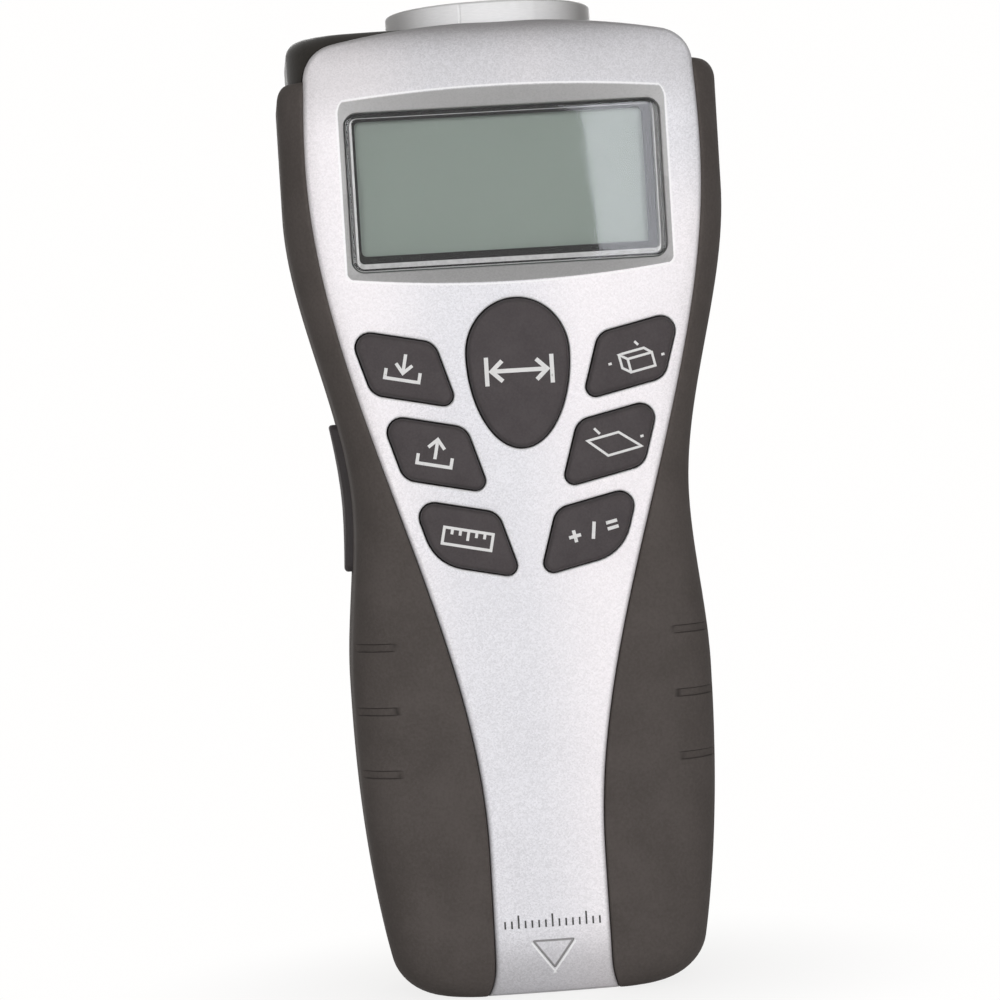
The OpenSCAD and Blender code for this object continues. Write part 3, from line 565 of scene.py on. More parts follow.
def relief(outline, top, edge, skirt, skirt_y, holes, side, pitch, bands, roll=1.0, **look):
    """A moulded cover: a sheet with a rounded edge, a skirt round it and openings with rounded lips.
    The sheet looks along -Y when side is 1 and along +Y when side is -1. The roll is 0 where the top
    already falls away at its edge. Of the look, lines are what the mesh follows, highlight tells where
    the top gets painted highlights and edge_worn how worn its outer edge is, below 0 where
    shade is painted on it."""
    line_gap = 0.06
    band_gap = 0.45
    lip_gap = 0.28
    shell = Shell()
    keep = max(edge, skirt)
    loops = [outline(-keep)]
    rings = [shell.ring(loops[0], top(loops[0]))]
    for back, down, over in quarter(edge)[1 if keep == edge else 0:]:
        loop = outline(-back)
        rings.append(shell.ring(loop, top(loop) + side * roll * down, over * look.get("edge_worn", 1.0)))
    rings.append(shell.ring(outline(0), skirt_y))
    rings.append(shell.ring(outline(-skirt), skirt_y))
    if skirt < keep:
        rings.append(shell.ring(outline(-skirt), top(loops[0]) + side * keep))
    rings.append(shell.ring(loops[0], top(loops[0]) + side * wall))
    shell.rows(*rings)
    upper = [rings[0]]
    lower = [rings[-1]]
    for hole in holes:
        lip = hole["lip"]
        r = hole["r"]
        rows = []
        for back, down, over in quarter(r):
            loop = lip(back)
            rows.append(shell.ring(loop, top(loop) + side * down, over * hole.get("worn", 1.0)))
        loops.append(lip(r))
        under = [shell.ring(loops[-1], top(loops[-1]) + side * wall)]
        upper.append(rows[0])
        lower.append(under[0])
        if hole.get("inside"):
            rows.extend(shell.ring(*step) for step in hole["inside"])
            under.extend(shell.ring(*step) for step in hole.get("behind", []))
            shell.cap(rows[-1])
            shell.cap(under[-1])
        else:
            rows.append(shell.ring(lip(0), top(lip(0)) + side * wall))
            rows.append(under[0])
        shell.rows(*rows)
        shell.rows(*under)
    fixed = np.concatenate(loops)
    tries = [(line, line_gap) for line in look.get("lines", [])]
    tries.extend((outline(-keep - b), band_gap) for b in bands)
    for hole in holes:
        tries.extend((hole["lip"](hole["r"] + b), lip_gap) for b in hole.get("bands", []))
    low = loops[0].min(0)
    high = loops[0].max(0)
    gx, gz = np.meshgrid(np.arange(low[0], high[0], pitch), np.arange(low[1], high[1], pitch * 0.866))
    gx = gx + (np.arange(len(gz)) % 2 * pitch / 2)[:, None]
    tries.append((pairs(gx.ravel(), gz.ravel()), 0.6 * pitch))
    inner = np.zeros((0, 2))
    for points, gap in tries:
        good = within(loops, points)
        held = np.concatenate([fixed, inner])
        tree = KDTree(len(held))
        for i, p in enumerate(held):
            tree.insert((p[0], p[1], 0), i)
        tree.balance()
        good[good] = [tree.find((p[0], p[1], 0))[2] > gap for p in points[good]]
        inner = np.concatenate([inner, points[good]])
    above = sum(upper, []) + shell.ring(inner, top(inner), look["rub"](inner) if "rub" in look else 0.0)
    beneath = sum(lower, []) + shell.ring(inner, top(inner) + side * wall)
    spread = np.concatenate([fixed, inner])
    sides = []
    start = 0
    for loop in loops:
        sides.extend((start + i, start + (i + 1) % len(loop)) for i in range(len(loop)))
        start += len(loop)
    made = delaunay_2d_cdt([Vector(p) for p in spread.tolist()], sides, [], 0, 1e-6)
    source = [o[0] for o in made[3]]
    triangles = np.array([[source[i] for i in f] for f in made[2]])
    for a, b, c in triangles[within(loops, spread[triangles].mean(1))]:
        shell.faces.append((above[a], above[b], above[c]))
        shell.faces.append((beneath[a], beneath[c], beneath[b]))
    return shell


def meshed(name, shell):
    """A shell's mesh in metres, with its faces turned outward and its edge wear and painted light kept."""
    mesh = bpy.data.meshes.new(name)
    mesh.from_pydata([(x / 1000, y / 1000, z / 1000) for x, y, z in shell.points], [], shell.faces)
    worn = mesh.attributes.new("edge_wear_and_painted_light", "FLOAT", "POINT")
    worn.data.foreach_set("value", np.array(shell.worn, np.float32))
    work = bmesh.new()
    work.from_mesh(mesh)
    bmesh.ops.remove_doubles(work, verts=work.verts, dist=1e-7)
    bmesh.ops.recalc_face_normals(work, faces=work.faces)
    work.to_mesh(mesh)
    work.free()
    return mesh


def smoothed(mesh, crease):
    mesh.shade_smooth()
    mesh.set_sharp_from_angle(angle=math.radians(crease))


def seated(made, body, nodes):
    """Lets a finished piece ride on its body and stand for its CAD nodes."""
    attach(made, body)
    if nodes:
        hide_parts(*nodes)


def piece(name, shell, material, body, nodes, crease=40):
    """The finished piece of a shell."""
    mesh = meshed(name, shell)
    smoothed(mesh, crease)
    mesh.materials.append(material)
    made = bpy.data.objects.new(name, mesh)
    bpy.context.scene.collection.objects.link(made)
    seated(made, body, nodes)
    return made


def prism(loop, low, high, axis):
    """An outline drawn out along an axis."""
    return loft([(loop, low), (loop, high)], "flats", axis)


def circle(x, y, r, count=96):
    a = np.linspace(0, 2 * math.pi, count + 1)[:-1]
    return pairs(x + r * np.cos(a), y + r * np.sin(a))


def sensor_bore():
    """A cutter for the round opening that the collar stands in."""
    return prism(circle(*sensor_at, sensor_bore_r), 130, 150, "Z")


def cut(target, shell):
    """Takes a shell out of a finished piece."""
    cutter = bpy.data.objects.new("cutter", meshed("cutter", shell))
    bpy.context.scene.collection.objects.link(cutter)
    step = target.modifiers.new("cut", "BOOLEAN")
    step.operation = "DIFFERENCE"
    step.solver = "EXACT"
    step.object = cutter
    ready = target.evaluated_get(bpy.context.evaluated_depsgraph_get())
    result = bpy.data.meshes.new_from_object(ready)
    target.modifiers.remove(step)
    target.data = result
    bpy.data.objects.remove(cutter)
    smoothed(result, 40)


def coat(shader, colour, rough, raised, **others):
    """Links a finish's colour, roughness and raised grain to its shader."""
    links = {"Base Color": colour, "Roughness": rough, "Normal": raised, **others}
    for socket, shade in links.items():
        shade.tree.links.new(shade.socket, shader.inputs[socket])


def bumped(height, distance, strength=1.0):
    """A surface raised by that height, in metres for a height of 1."""
    inputs = {"Height": height, "Distance": distance, "Strength": strength}
    return height.node("ShaderNodeBump", inputs)


silver, place, shader = finish("silver_metallic_paint", {"Metallic": 0.06, "Specular IOR Level": 0.3})
flake = place.cells(5200.0, "Color")
flake = flake.node("ShaderNodeSeparateColor", {0: flake})
haze = place.noise(140.0, 3.0)
worn = place.worn()
tone = flake * 0.7 + haze * 0.3
# Painted shade: below 0 the edge value darkens the paint, along the face's outer edge and in the triangle's
# groove.
painted_shade = (worn * -1.0).sum("MAXIMUM", 0.0)
# Painted highlight: the paint turns near white on the rounded lips of the openings and on the lines the mesh
# marks.
rubbed = worn.ramp(0.1, 0.7) * 0.75
point_x, point_y, point_z = [place.axis(number) for number in range(3)]
# Painted light: the paint is lighter towards the sides of the face than in its middle, but not at its upper
# right.
painted_side_light = (point_x + 0.0055).sum("ABSOLUTE").ramp(0.003, 0.017)
painted_side_light = painted_side_light * (1.0 - point_z.ramp(0.11, 0.127) * point_x.ramp(0.0, 0.01))
facing = tone.blend((0.62, 0.613, 0.643, 1), (0.885, 0.877, 0.915, 1))
clean = painted_side_light.blend(facing, tone.blend((0.77, 0.738, 0.757, 1), (0.995, 0.955, 0.98, 1)))
bow = (crown_r / 1000) ** 2 - point_x * point_x
sunk = point_y + bow.sum("SQRT") - (face_y + crown_r) / 1000
# Painted shade: the paint darkens over the rolled top, most where the face falls away, and towards the base.
painted_end_shade = point_z.ramp(0.127, 0.137) * (sunk.ramp(0.0, 0.0028) * 0.64 + 0.36)
painted_end_shade = painted_end_shade + (1.0 - point_z.ramp(0.003, 0.0125)) * 0.5
end_shade_tone = tone.blend((0.25, 0.24, 0.245, 1), (0.33, 0.32, 0.325, 1))
paint = rubbed.blend(painted_end_shade.blend(clean, end_shade_tone), grey(0.95))
paint = painted_shade.blend(paint, grey(0.13, 0.04))
off_side = point_x.sum("ABSOLUTE")
off_level = point_z - window_z / 1000
bulge = off_side.sum("MINIMUM", window_half[0] / 1000) * (1000 / bulge_half)
bulge = bulge * bulge
upper = off_level.sum("GREATER_THAN", 0.0)
reach_more = bulge * (reach_below[1] - reach_above[1]) + (reach_above[0] - reach_below[0])
slope_reach = reach_below[0] - bulge * reach_below[1] + upper * reach_more
beside = (off_side - (window_half[0] + fit) / 1000).sum("MAXIMUM", 0.0) * (1000 / recess_side)
above = (off_level.sum("ABSOLUTE") - (window_half[1] + fit) / 1000).sum("MAXIMUM", 0.0) * 1000.0
above = above.sum("DIVIDE", slope_reach)
# Painted shade: the sloping recess round the window is painted dark grey, lighter on its upper slope.
painted_recess_shade = (tone * 0.8 + upper * 0.5).blend((0.335, 0.33, 0.33, 1), (0.45, 0.445, 0.445, 1))
out_of_recess = (beside.sum("POWER", recess_round) + above.sum("POWER", recess_round)).ramp(0.9, 1.0)
silver_rough = flake * 0.2 + haze * 0.1 + 0.36 - worn * 0.06
silver_grain = bumped(place.noise(2600.0), 0.000012, 0.6)
coat(shader, (1.0 - out_of_recess).blend(paint, painted_recess_shade), silver_rough, silver_grain)

key_lip = {"r": 0.35, "bands": [0.5, 1.1]}
openings = [
    {"lip": lambda g: window_outline(fit + g), "r": 0.2, "bands": [0.3 * i for i in range(1, 12)]},
    {"lip": lambda g: egg(key_gap + g), **key_lip},
]
for row in range(3):
    for side in (-1, 1):
        openings.append({"lip": lambda g, row=row, side=side: key_outline(row, side, key_gap + g), **key_lip})
# Painted shade round the triangle's floor and on its upper lip, painted highlights on its lower lips.
shaded_lines = [(base_mark(0), -0.75), (base_mark(-0.27), -0.75), (base_mark(-0.38), 0.0)]
mark_floor = [(loop, face_top(loop) + 0.3, shade_level) for loop, shade_level in shaded_lines]
mark_lip_light = np.where(base_mark(0)[:, 1] > mark_z[1] - mark_r, -0.5, 1.0)
openings.append({"lip": base_mark, "r": 0.08, "worn": mark_lip_light, "inside": mark_floor, "bands": [0.4]})
face_bands = [0.4 * i for i in range(1, 4)] + [1.8, 2.5, 3.3, 4.2, 5.2, 6.3]
recess_lines = np.concatenate([moved(recess_edge(), d) for d in (-0.12, 0, 0.12, 0.26, 0.42)])
mark_lines = np.concatenate([base_mark(d) for d in (0.15, 0.25, 0.35, 0.5)])
# The silver's outer rounded edge carries painted shade where it meets the grips.
face_shell = relief(
    face_outline, face_top, edge=0.7, skirt=1.4, skirt_y=panel_y, holes=openings, side=1, pitch=1.5,
    bands=face_bands, lines=[recess_lines, mark_lines], rub=face_rub, edge_worn=-0.4,
)
face_panel = piece("face_panel_shell", face_shell, silver, "case", ["face_panel"])
cut(face_panel, sensor_bore())


# Base scale: fifteen fine ticks printed in dark ink across the foot of the face, above the triangle,
# one to a millimetre and every fifth one longer.
def moulded(name, low, high, rough, scale, depth, sockets=None, ramp=(0.3, 0.7), vary=0.16):
    """A plain moulded, plated or printed finish: two close tones in a fine grain, and that grain raised."""
    material, place, shader = finish(name, sockets or {})
    grain = place.noise(scale, 3.0)
    coat(shader, grain.ramp(*ramp).blend(low, high), grain * vary + rough, bumped(grain, depth))
    return material


def maker(name, sizes):
    """A new Geometry Nodes tree with a named input for each size, and those inputs."""
    tree = bpy.data.node_groups.new(name, "GeometryNodeTree")
    tree.interface.new_socket("Geometry", in_out="OUTPUT", socket_type="NodeSocketGeometry")
    tree.interface.new_socket("Template", in_out="INPUT", socket_type="NodeSocketGeometry")
    for label, size in sizes.items():
        kind = "NodeSocketInt" if isinstance(size, int) else "NodeSocketFloat"
        tree.interface.new_socket(label, in_out="INPUT", socket_type=kind)
    start = tree.nodes.new("NodeGroupInput")
    return {socket.name: Shade(tree, socket) for socket in start.outputs if socket.name}


def shifted(shape, offset):
    return shape.node("GeometryNodeTransform", {"Geometry": shape, "Translation": offset})


def copies(points, shape, **more):
    """A shape set at each of the points."""
    return shape.node("GeometryNodeInstanceOnPoints", {"Points": points, "Instance": shape, **more})


def grow(name, last, sizes, material, template=None):
    """Ends a tree in real faces with their finish, runs it with its sizes and keeps the plain mesh."""
    tree = last.tree
    whole = last.node("GeometryNodeRealizeInstances", {"Geometry": last})
    dressed = whole.node("GeometryNodeSetMaterial", {"Geometry": whole, "Material": material})
    tree.links.new(dressed.socket, tree.nodes.new("NodeGroupOutput").inputs[0])
    made = bpy.data.objects.new(name, template or bpy.data.meshes.new(name))
    bpy.context.scene.collection.objects.link(made)
    step = made.modifiers.new("maker", "NODES")
    step.node_group = tree
    for item in tree.interface.items_tree:
        if item.in_out == "INPUT" and item.name in sizes:
            step[item.identifier] = sizes[item.name]
    ready = made.evaluated_get(bpy.context.evaluated_depsgraph_get())
    mesh = bpy.data.meshes.new_from_object(ready)
    made.modifiers.remove(step)
    made.data = mesh
    return made


ink_sheen = {"Specular IOR Level": 0.3}
black = (grey(0.035), grey(0.09))
ink = moulded("dark_printing_ink", *black, 0.5, 1800.0, 0.000005, ink_sheen, (0.35, 0.75), 0.2)
tick_sizes = {
    "Count": 15, "Pitch": 0.001, "Width": 0.00024, "Length": 0.0011, "Height": 0.0105,
    "Front": face_y / 1000 - 0.00003, "Crown": crown_r / 1000, "Ink": 0.00012,
}
size = maker("base_scale", tick_sizes)
count = size["Count"]
left_end = (count - 1.0) * size["Pitch"] * -0.5
row_inputs = {
    "Count": count, "Start Location": count.vector(left_end, size["Front"], size["Height"]),
    "Offset": count.vector(size["Pitch"]),
}
row_points = count.node("GeometryNodeMeshLine", row_inputs, mode="OFFSET")
along_row = count.node("GeometryNodeInputPosition", {}).axis(0)
fallen = size["Crown"] - (size["Crown"] * size["Crown"] - along_row * along_row).sum("SQRT")
on_face = {"Geometry": row_points, "Offset": count.vector(0.0, fallen)}
on_face = count.node("GeometryNodeSetPosition", on_face)
tick = {"Size": count.vector(size["Width"], size["Ink"], size["Length"])}
tick = count.node("GeometryNodeMeshCube", tick)
tick = shifted(tick, count.vector(0.0, 0.0, size["Length"] * 0.5))
number = count.node("GeometryNodeInputIndex", {})
longer = (number + 3.0).sum("MODULO", 5.0).sum("LESS_THAN", 0.5) * 0.75 + 1.0
ticks = copies(on_face, tick, Scale=count.vector(1.0, 1.0, longer))
base_scale = grow("base_scale", ticks, tick_sizes, ink)
seated(base_scale, "case", [])


# Display: a clear pane with a bevelled edge on a thin black gasket, over a blank grey-green liquid
# crystal glass that stands in a white plastic frame and touches the board through a rubber strip.
def dress(material, *nodes):
    """Gives CAD pieces whose shape is right a finer finish."""
    for node in nodes:
        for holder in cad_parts[node].material_slots:
            holder.material = material


def hoop(rim, hole, front, back):
    """A flat ring between two outlines."""
    return loft([(rim, front), (rim, back), (hole, back), (hole, front)], "joined")


seat_y = -14.7
gasket_back = -14.4
line_y = (-14.69, -14.74)
bevel = 0.4
lens_gap = 0.02
gasket_sheen = {"Specular IOR Level": 0.08}
gasket_black = moulded("gasket_foam_black", grey(0.005), grey(0.012), 0.7, 2500.0, 0.00002, gasket_sheen)
gasket_hole = oblong((21.225, 9.875), (-0.525, window_z + 0.575), 0.8)
gasket = hoop(window_outline(-0.05), gasket_hole, seat_y, gasket_back)
piece("window_gasket_ring", gasket, gasket_black, "case", ["window_gasket"])

# Painted highlight: a thin pale grey ring at the gasket's depth stands for light caught in the pane's edge,
# widest at the bottom.
line_rim = oblong((22.48, 11.04), (0, window_z - 0.06), 1.1)
line_hole = oblong((22.24, 10.65), (0.1, window_z + 0.25), 0.8)
edge_highlight_ring = hoop(line_rim, line_hole, *line_y)
edge_glint_paint = moulded("window_edge_highlight_grey", grey(0.4), grey(0.5), 0.4, 1800.0, 0.00001)
piece("window_edge_highlight_ring", edge_highlight_ring, edge_glint_paint, "case", [])

pane, place, shader = finish("clear_window_acrylic", {
    "Base Color": (1, 1, 1, 1), "Transmission Weight": 1.0, "IOR": 1.33, "Specular IOR Level": 0.5,
})
hazed = place.noise(60.0, 4.0, 0.6).ramp(0.45, 0.8) * 0.05 + 0.02
pane.node_tree.links.new(hazed.socket, shader.inputs["Roughness"])
passing = place.ray("Shadow").sum("MAXIMUM", place.ray("Diffuse"))
open_air = place.node("ShaderNodeBsdfTransparent", {"Color": grey(0.94)})
mixed(pane, passing, Shade(pane.node_tree, shader.outputs[0]), open_air)
lens_steps = [(window_outline(-bevel - 1.5), window_y)]
lens_steps += [(window_outline(-back - lens_gap), window_y + down) for back, down, _ in quarter(bevel)]
lens_steps.append((window_outline(-lens_gap), seat_y - 0.1))
piece("display_window_lens", loft(lens_steps, "flats"), pane, "case", ["display_window"])

glass, place, shader = finish("grey_green_display", {"Specular IOR Level": 0.4})
cloud = place.noise(45.0)
fine = place.noise(1500.0)
glass_tone = (cloud * 0.7 + fine * 0.3).blend((0.126, 0.167, 0.139, 1), (0.157, 0.195, 0.169, 1))
coat(shader, glass_tone, fine * 0.12 + 0.36, bumped(fine, 0.000002))
dress(glass, "lcd_panel")
dress(moulded("frame_white_plastic", grey(0.62), grey(0.7), 0.4, 900.0, 0.00001), "lcd_frame")
strip, place, shader = finish("striped_contact_rubber", {})
stripes = (place.axis(0) * 9000.0).sum("SINE").ramp(-0.4, 0.4)
strip_tone = stripes.blend((0.42, 0.13, 0.16, 1), (0.03, 0.03, 0.032, 1))
coat(shader, strip_tone, stripes * 0.1 + 0.55, bumped(stripes, 0.00001))
dress(strip, "contact_strip")


# Keys: seven soft caps moulded in one matt dark rubber. Each stands a little out of the face, has a
# rounded edge, a flange behind the panel and a plunger over its snap dome, and a mark in white ink.
key_proud = 0.9
key_fillet = 0.7
key_dome = 0.22
key_back = -12.4
plunger_r = 2.4
plunger_end = -10.3
flange_w = 0.9
flange_sunk = -2.3
ink_over = 0.03
ink_under = 0.05


def key_cap(outline, top, fillet, flange_w, flange, back, axis="Y"):
    """A key along an axis: a domed top, a rounded edge, straight sides and a flange."""
    edge = outline(-fillet)
    middle = edge.mean(0)
    steps = []
    for share in (0.15, 0.4, 0.65, 0.85, 1):
        loop = middle + (edge - middle) * share
        steps.append((loop, top(loop) - key_dome * (1 - share ** 2)))
    for inset, down, over in quarter(fillet)[1:]:
        loop = outline(-inset)
        steps.append((loop, top(loop) + down, over))
    for loop, depth in ((outline(0), flange), (outline(flange_w), flange), (outline(flange_w), back)):
        steps.append((loop, depth(loop)))
    return loft(steps, axis=axis)


def crowned(rise):
    """A depth function: the crown of the face moved outward."""
    return lambda p: face_y + crown_r - np.sqrt((crown_r + rise) ** 2 - p[:, 0] ** 2)


def domed(outline):
    """A depth function: the top of a key with its dome."""
    edge = outline(-key_fillet)
    middle = edge.mean(0)
    reach = np.linalg.norm(edge - middle, axis=1)
    angle = np.arctan2(edge[:, 1] - middle[1], edge[:, 0] - middle[0])
    order = np.argsort(angle)

    def depth(p):
        rim = np.interp(np.arctan2(p[:, 1] - middle[1], p[:, 0] - middle[0]), angle[order], reach[order])
        share = np.clip(np.linalg.norm(p - middle, axis=1) / rim, 0, 1)
        return crowned(key_proud)(p) - key_dome * (1 - share ** 2)

    return depth


def stroke(shell, path, width, top, closed):
    """A printed line along a path of points in X and Z, lying on a curved top."""
    corners = list(path) + [path[0]] if closed else list(path)
    line = [corners[0]]
    for a, b in zip(corners, corners[1:]):
        count = max(1, int(np.linalg.norm(b - a) / 0.5))
        line.extend(a + (b - a) * i / count for i in range(1, count + 1))
    line = np.array(line[:-1] if closed else line)
    before = line - np.roll(line, 1, 0)
    after = np.roll(before, -1, 0)
    if not closed:
        before[0] = after[0]
        after[-1] = before[-1]
    after = unit(after)
    along = unit(unit(before) + after)
    mitre = 1 / np.clip(np.sum(along * after, 1), 0.55, 1)
    off = pairs(-along[:, 1], along[:, 0]) * mitre[:, None] * width / 2
    edges = []
    for side, depth in ((1, -ink_over), (-1, -ink_over), (-1, ink_under), (1, ink_under)):
        loop = line + side * off
        edges.append(shell.ring(loop, top(loop) + depth))
    shell.rows(*edges, edges[0], closed=closed)
    if not closed:
        shell.faces.append(tuple(ring[0] for ring in edges))
        shell.faces.append(tuple(ring[-1] for ring in reversed(edges)))


key_rubber, place, shader = finish("key_rubber_dark", {"Specular IOR Level": 0.18, "Sheen Weight": 0.03})
grain = place.noise(3200.0, 3.0, 0.6)
cloud = place.noise(260.0)
worn = place.worn()
tone = (grain * 0.55 + cloud * 0.45).ramp(0.3, 0.7)
tone = tone.blend((0.052, 0.044, 0.046, 1), (0.071, 0.061, 0.063, 1))
# Painted shade: the keys darken towards their rounded edges.
tone = (worn.ramp(0.15, 0.9) * 0.5).blend(tone, (0.04, 0.036, 0.036, 1))
coat(shader, tone, grain * 0.14 + 0.52 - worn * 0.05, bumped(grain, 0.000022))
white = (grey(0.72, 0.01), grey(0.34, 0.02))
white_ink = moulded("white_printing_ink", *white, 0.5, 2200.0, 0.000006, ink_sheen, (0.62, 0.85), 0.15)

tray = [(-2.5, -0.3), (-2.5, -1.7), (2.5, -1.7), (2.5, -0.3)]
key_marks = {
    "read": (None, 0.62, [
        [(-4.8, -2.1), (-4.8, 2.1)], [(4.8, -2.1), (4.8, 2.1)], [(-4.1, 0), (4.1, 0)],
        [(-2.5, 1.5), (-4.1, 0), (-2.5, -1.5)], [(2.5, 1.5), (4.1, 0), (2.5, -1.5)],
    ]),
    "store": ((0, -1), 0.48, [tray, [(0, 2.1), (0, -0.6)], [(-1.2, 0.6), (0, -0.7), (1.2, 0.6)]]),
    "recall": ((1, -1), 0.48, [tray, [(0, -0.8), (0, 1.9)], [(-1.2, 0.8), (0, 2.1), (1.2, 0.8)]]),
    "unit": ((2, -1), 0.42, [
        [(-3.6, -1.2), (3.6, -1.2), (3.6, 1.2), (-3.6, 1.2), (-3.6, -1.2)],
        *[[(1.2 * i, 1.2), (1.2 * i, 0.3 if i else -0.3)] for i in range(-2, 3)],
    ]),
    "volume": ((0, 1), 0.36, [
        [(-0.88, -2.4), (2.9, -2.4), (2.9, -0.4), (-0.88, -0.4), (-0.88, -2.4)],
        [(-0.88, -0.4), (-2.0, 0.55), (1.9, 0.55), (2.9, -0.4)],
        [(-2.0, 0.55), (-2.0, -1.45), (-0.88, -2.4)],
        [(-3.85, -0.4), (-3.35, -0.4)], [(4.2, -1.1), (4.7, -1.1)], [(0.8, 1.85), (1.2, 1.2)],
    ]),
    "area": ((1, 1), 0.36, [
        [(-3.4, 1.25), (1.4, 1.25), (4.2, -1.65), (-1.0, -1.65), (-3.4, 1.25)],
        [(-1.95, 2.75), (-1.35, 1.75)], [(4.4, -0.25), (4.9, -0.25)],
    ]),
    "sum": ((2, 1), 0.5, [
        [(-3.35, -0.1), (-1.55, -0.1)], [(-2.45, -1.0), (-2.45, 0.8)], [(0.05, -1.2), (0.85, 1.2)],
        [(2.5, 0.5), (4.2, 0.5)], [(2.5, -0.4), (4.2, -0.4)],
    ]),
}
for name, (spot, width, lines) in key_marks.items():
    if spot:
        row, side = spot
        outline = lambda g, row=row, side=side: key_outline(row, side, g)
        plunger = mark_at = (first_key - key_step * row) * (side, 1)
        slant = side * math.atan2(key_run[1], key_run[0])
    else:
        outline = egg
        plunger = (0, read_plunger_z)
        mark_at = np.array((0, read_mark_z))
        slant = 0.0
    back = lambda p: np.full(len(p), key_back)
    cap = key_cap(outline, crowned(key_proud), key_fillet, flange_w, crowned(flange_sunk), back)
    cap.add(prism(circle(*plunger, plunger_r, 32), key_back - 0.1, plunger_end, "Y"))
    piece(name + "_key_cap", cap, key_rubber, name + "_key", [name + "_key"])
    swing = np.array(((math.cos(slant), math.sin(slant)), (-math.sin(slant), math.cos(slant))))
    mark = Shell()
    for line in lines:
        closed = line[0] == line[-1]
        path = mark_at + np.array(line[:-1] if closed else line) @ swing
        stroke(mark, path, width, domed(outline), closed)
    piece(name + "_mark", mark, white_ink, name + "_key", [])


# Board: a green circuit board with its chips, transformer, capacitors, buzzer, snap domes and the
# keypad's mat, held to the face panel by three small screws. All of it stays as the CAD has it.
def dress_all(finishes):
    """Gives CAD pieces plain finishes; the last entry of each row names the pieces."""
    for *look, nodes in finishes:
        dress(moulded(*look), *nodes)


bare_metal = {"Metallic": 1.0}
sleeve = {"Coat Weight": 0.4, "Coat Roughness": 0.2}
amber = ((0.3, 0.17, 0.03, 1), (0.4, 0.24, 0.05, 1))
blue = ((0.015, 0.025, 0.08, 1), (0.022, 0.035, 0.11, 1))
solder_mask, place, shader = finish("solder_mask_green", {"Coat Weight": 0.3, "Coat Roughness": 0.15})
weave = place.noise(1500.0)
tracks = 1.0 - place.cells(260.0, feature="DISTANCE_TO_EDGE").ramp(0.03, 0.08)
mask_tone = weave.blend((0.012, 0.075, 0.03, 1), (0.016, 0.1, 0.04, 1))
mask_tone = tracks.blend(mask_tone, (0.03, 0.19, 0.08, 1))
coat(shader, mask_tone, weave * 0.12 + 0.3, bumped(tracks, 0.00002))
dress(solder_mask, "main_board", "side_board")
dress_all([
    ("keypad_mat_rubber", grey(0.1), grey(0.14), 0.6, 1800.0, 0.00002, ["keypad_mat"]),
    ("snap_dome_steel", grey(0.55), grey(0.66), 0.22, 1500.0, 0.000004, bare_metal, ["snap_domes"]),
    ("chip_epoxy_black", grey(0.014), grey(0.026), 0.5, 2600.0, 0.00001, ["board_chips", "side_switch"]),
    ("winding_amber_tape", *amber, 0.35, 900.0, 0.00003, ["drive_transformer"]),
    ("capacitor_sleeve_blue", *blue, 0.3, 700.0, 0.00001, sleeve, ["board_capacitors"]),
    ("buzzer_plastic_black", grey(0.016), grey(0.028), 0.4, 1400.0, 0.00001, ["buzzer"]),
    ("board_screw_steel", grey(0.46), grey(0.6), 0.28, 1300.0, 0.00001, bare_metal, ["board_screws"]),
])


# Front frame: the dark moulded shell behind the face and under the grips, as far back as the parting
# line. It shows on the left shoulder and along the top; the right shoulder stops at the silver edge.
grip_t = 1.8
grip_top = 137.3
split_y = 2.0
shoulder_x = -28.4
shoulder_z = 131
laser_at = (-22.0, 1.0)
laser_bore_r = 3.55


def face_edge(z):
    """Half the width of the silver face at height z, with its rounded top corner."""
    r, xc, zc = face_corner(0)
    return np.where(z < zc, face_half(z), xc + np.sqrt(np.maximum(r * r - np.clip(z - zc, 0, r) ** 2, 0)))


def shell_half(x, z):
    """Half the width of the plastic shells at a place, on the side that it lies on."""
    drawn_in = soft_step((z - shoulder_z) / (grip_top - shoulder_z)) * (x > 0)
    return half_width(z, grip_t) * (1 - drawn_in) + (face_edge(z) - fit) * drawn_in


def eased(r, count):
    """Heights from 0 to r, close together at first, that follow a rounded corner."""
    return r * (1 - np.sin(np.linspace(math.pi / 2, 0, count)))


climb = np.concatenate([eased(base_r, 12), np.linspace(base_r, grip_top, 84)[1:]])
right_side = pairs(shell_half(np.ones(len(climb)), climb), climb)
silver_top = face_outline(-fit)
silver_top = silver_top[(silver_top[:, 1] > grip_top + 0.2) & (silver_top[:, 0] > -0.01)]
silver_top[:, 1] = np.minimum(silver_top[:, 1] + fit * np.clip(1 - silver_top[:, 0] / 12, 0, 1), shell_top)
flat_top = np.linspace(0, shoulder_x, 16)[1:-1]
flat_top = pairs(flat_top, np.full(len(flat_top), shell_top))
fall = np.concatenate([
    shell_top - eased(top_r, 9), np.linspace(shell_top - top_r, base_r, 88)[1:], eased(base_r, 12)[::-1][1:],
])
left_side = pairs(-half_width(fall, grip_t), fall)
foot = np.linspace(left_side[-1, 0], right_side[0, 0], 12)[1:-1]
foot = pairs(foot, np.zeros(len(foot)))
shell_loop = np.concatenate([right_side, silver_top, flat_top, left_side, foot])
shell_bands = [0.5, 1.0, 1.6, 2.3, 3.2, 4.3]


def shell_outline(g):
    return moved(shell_loop, g)


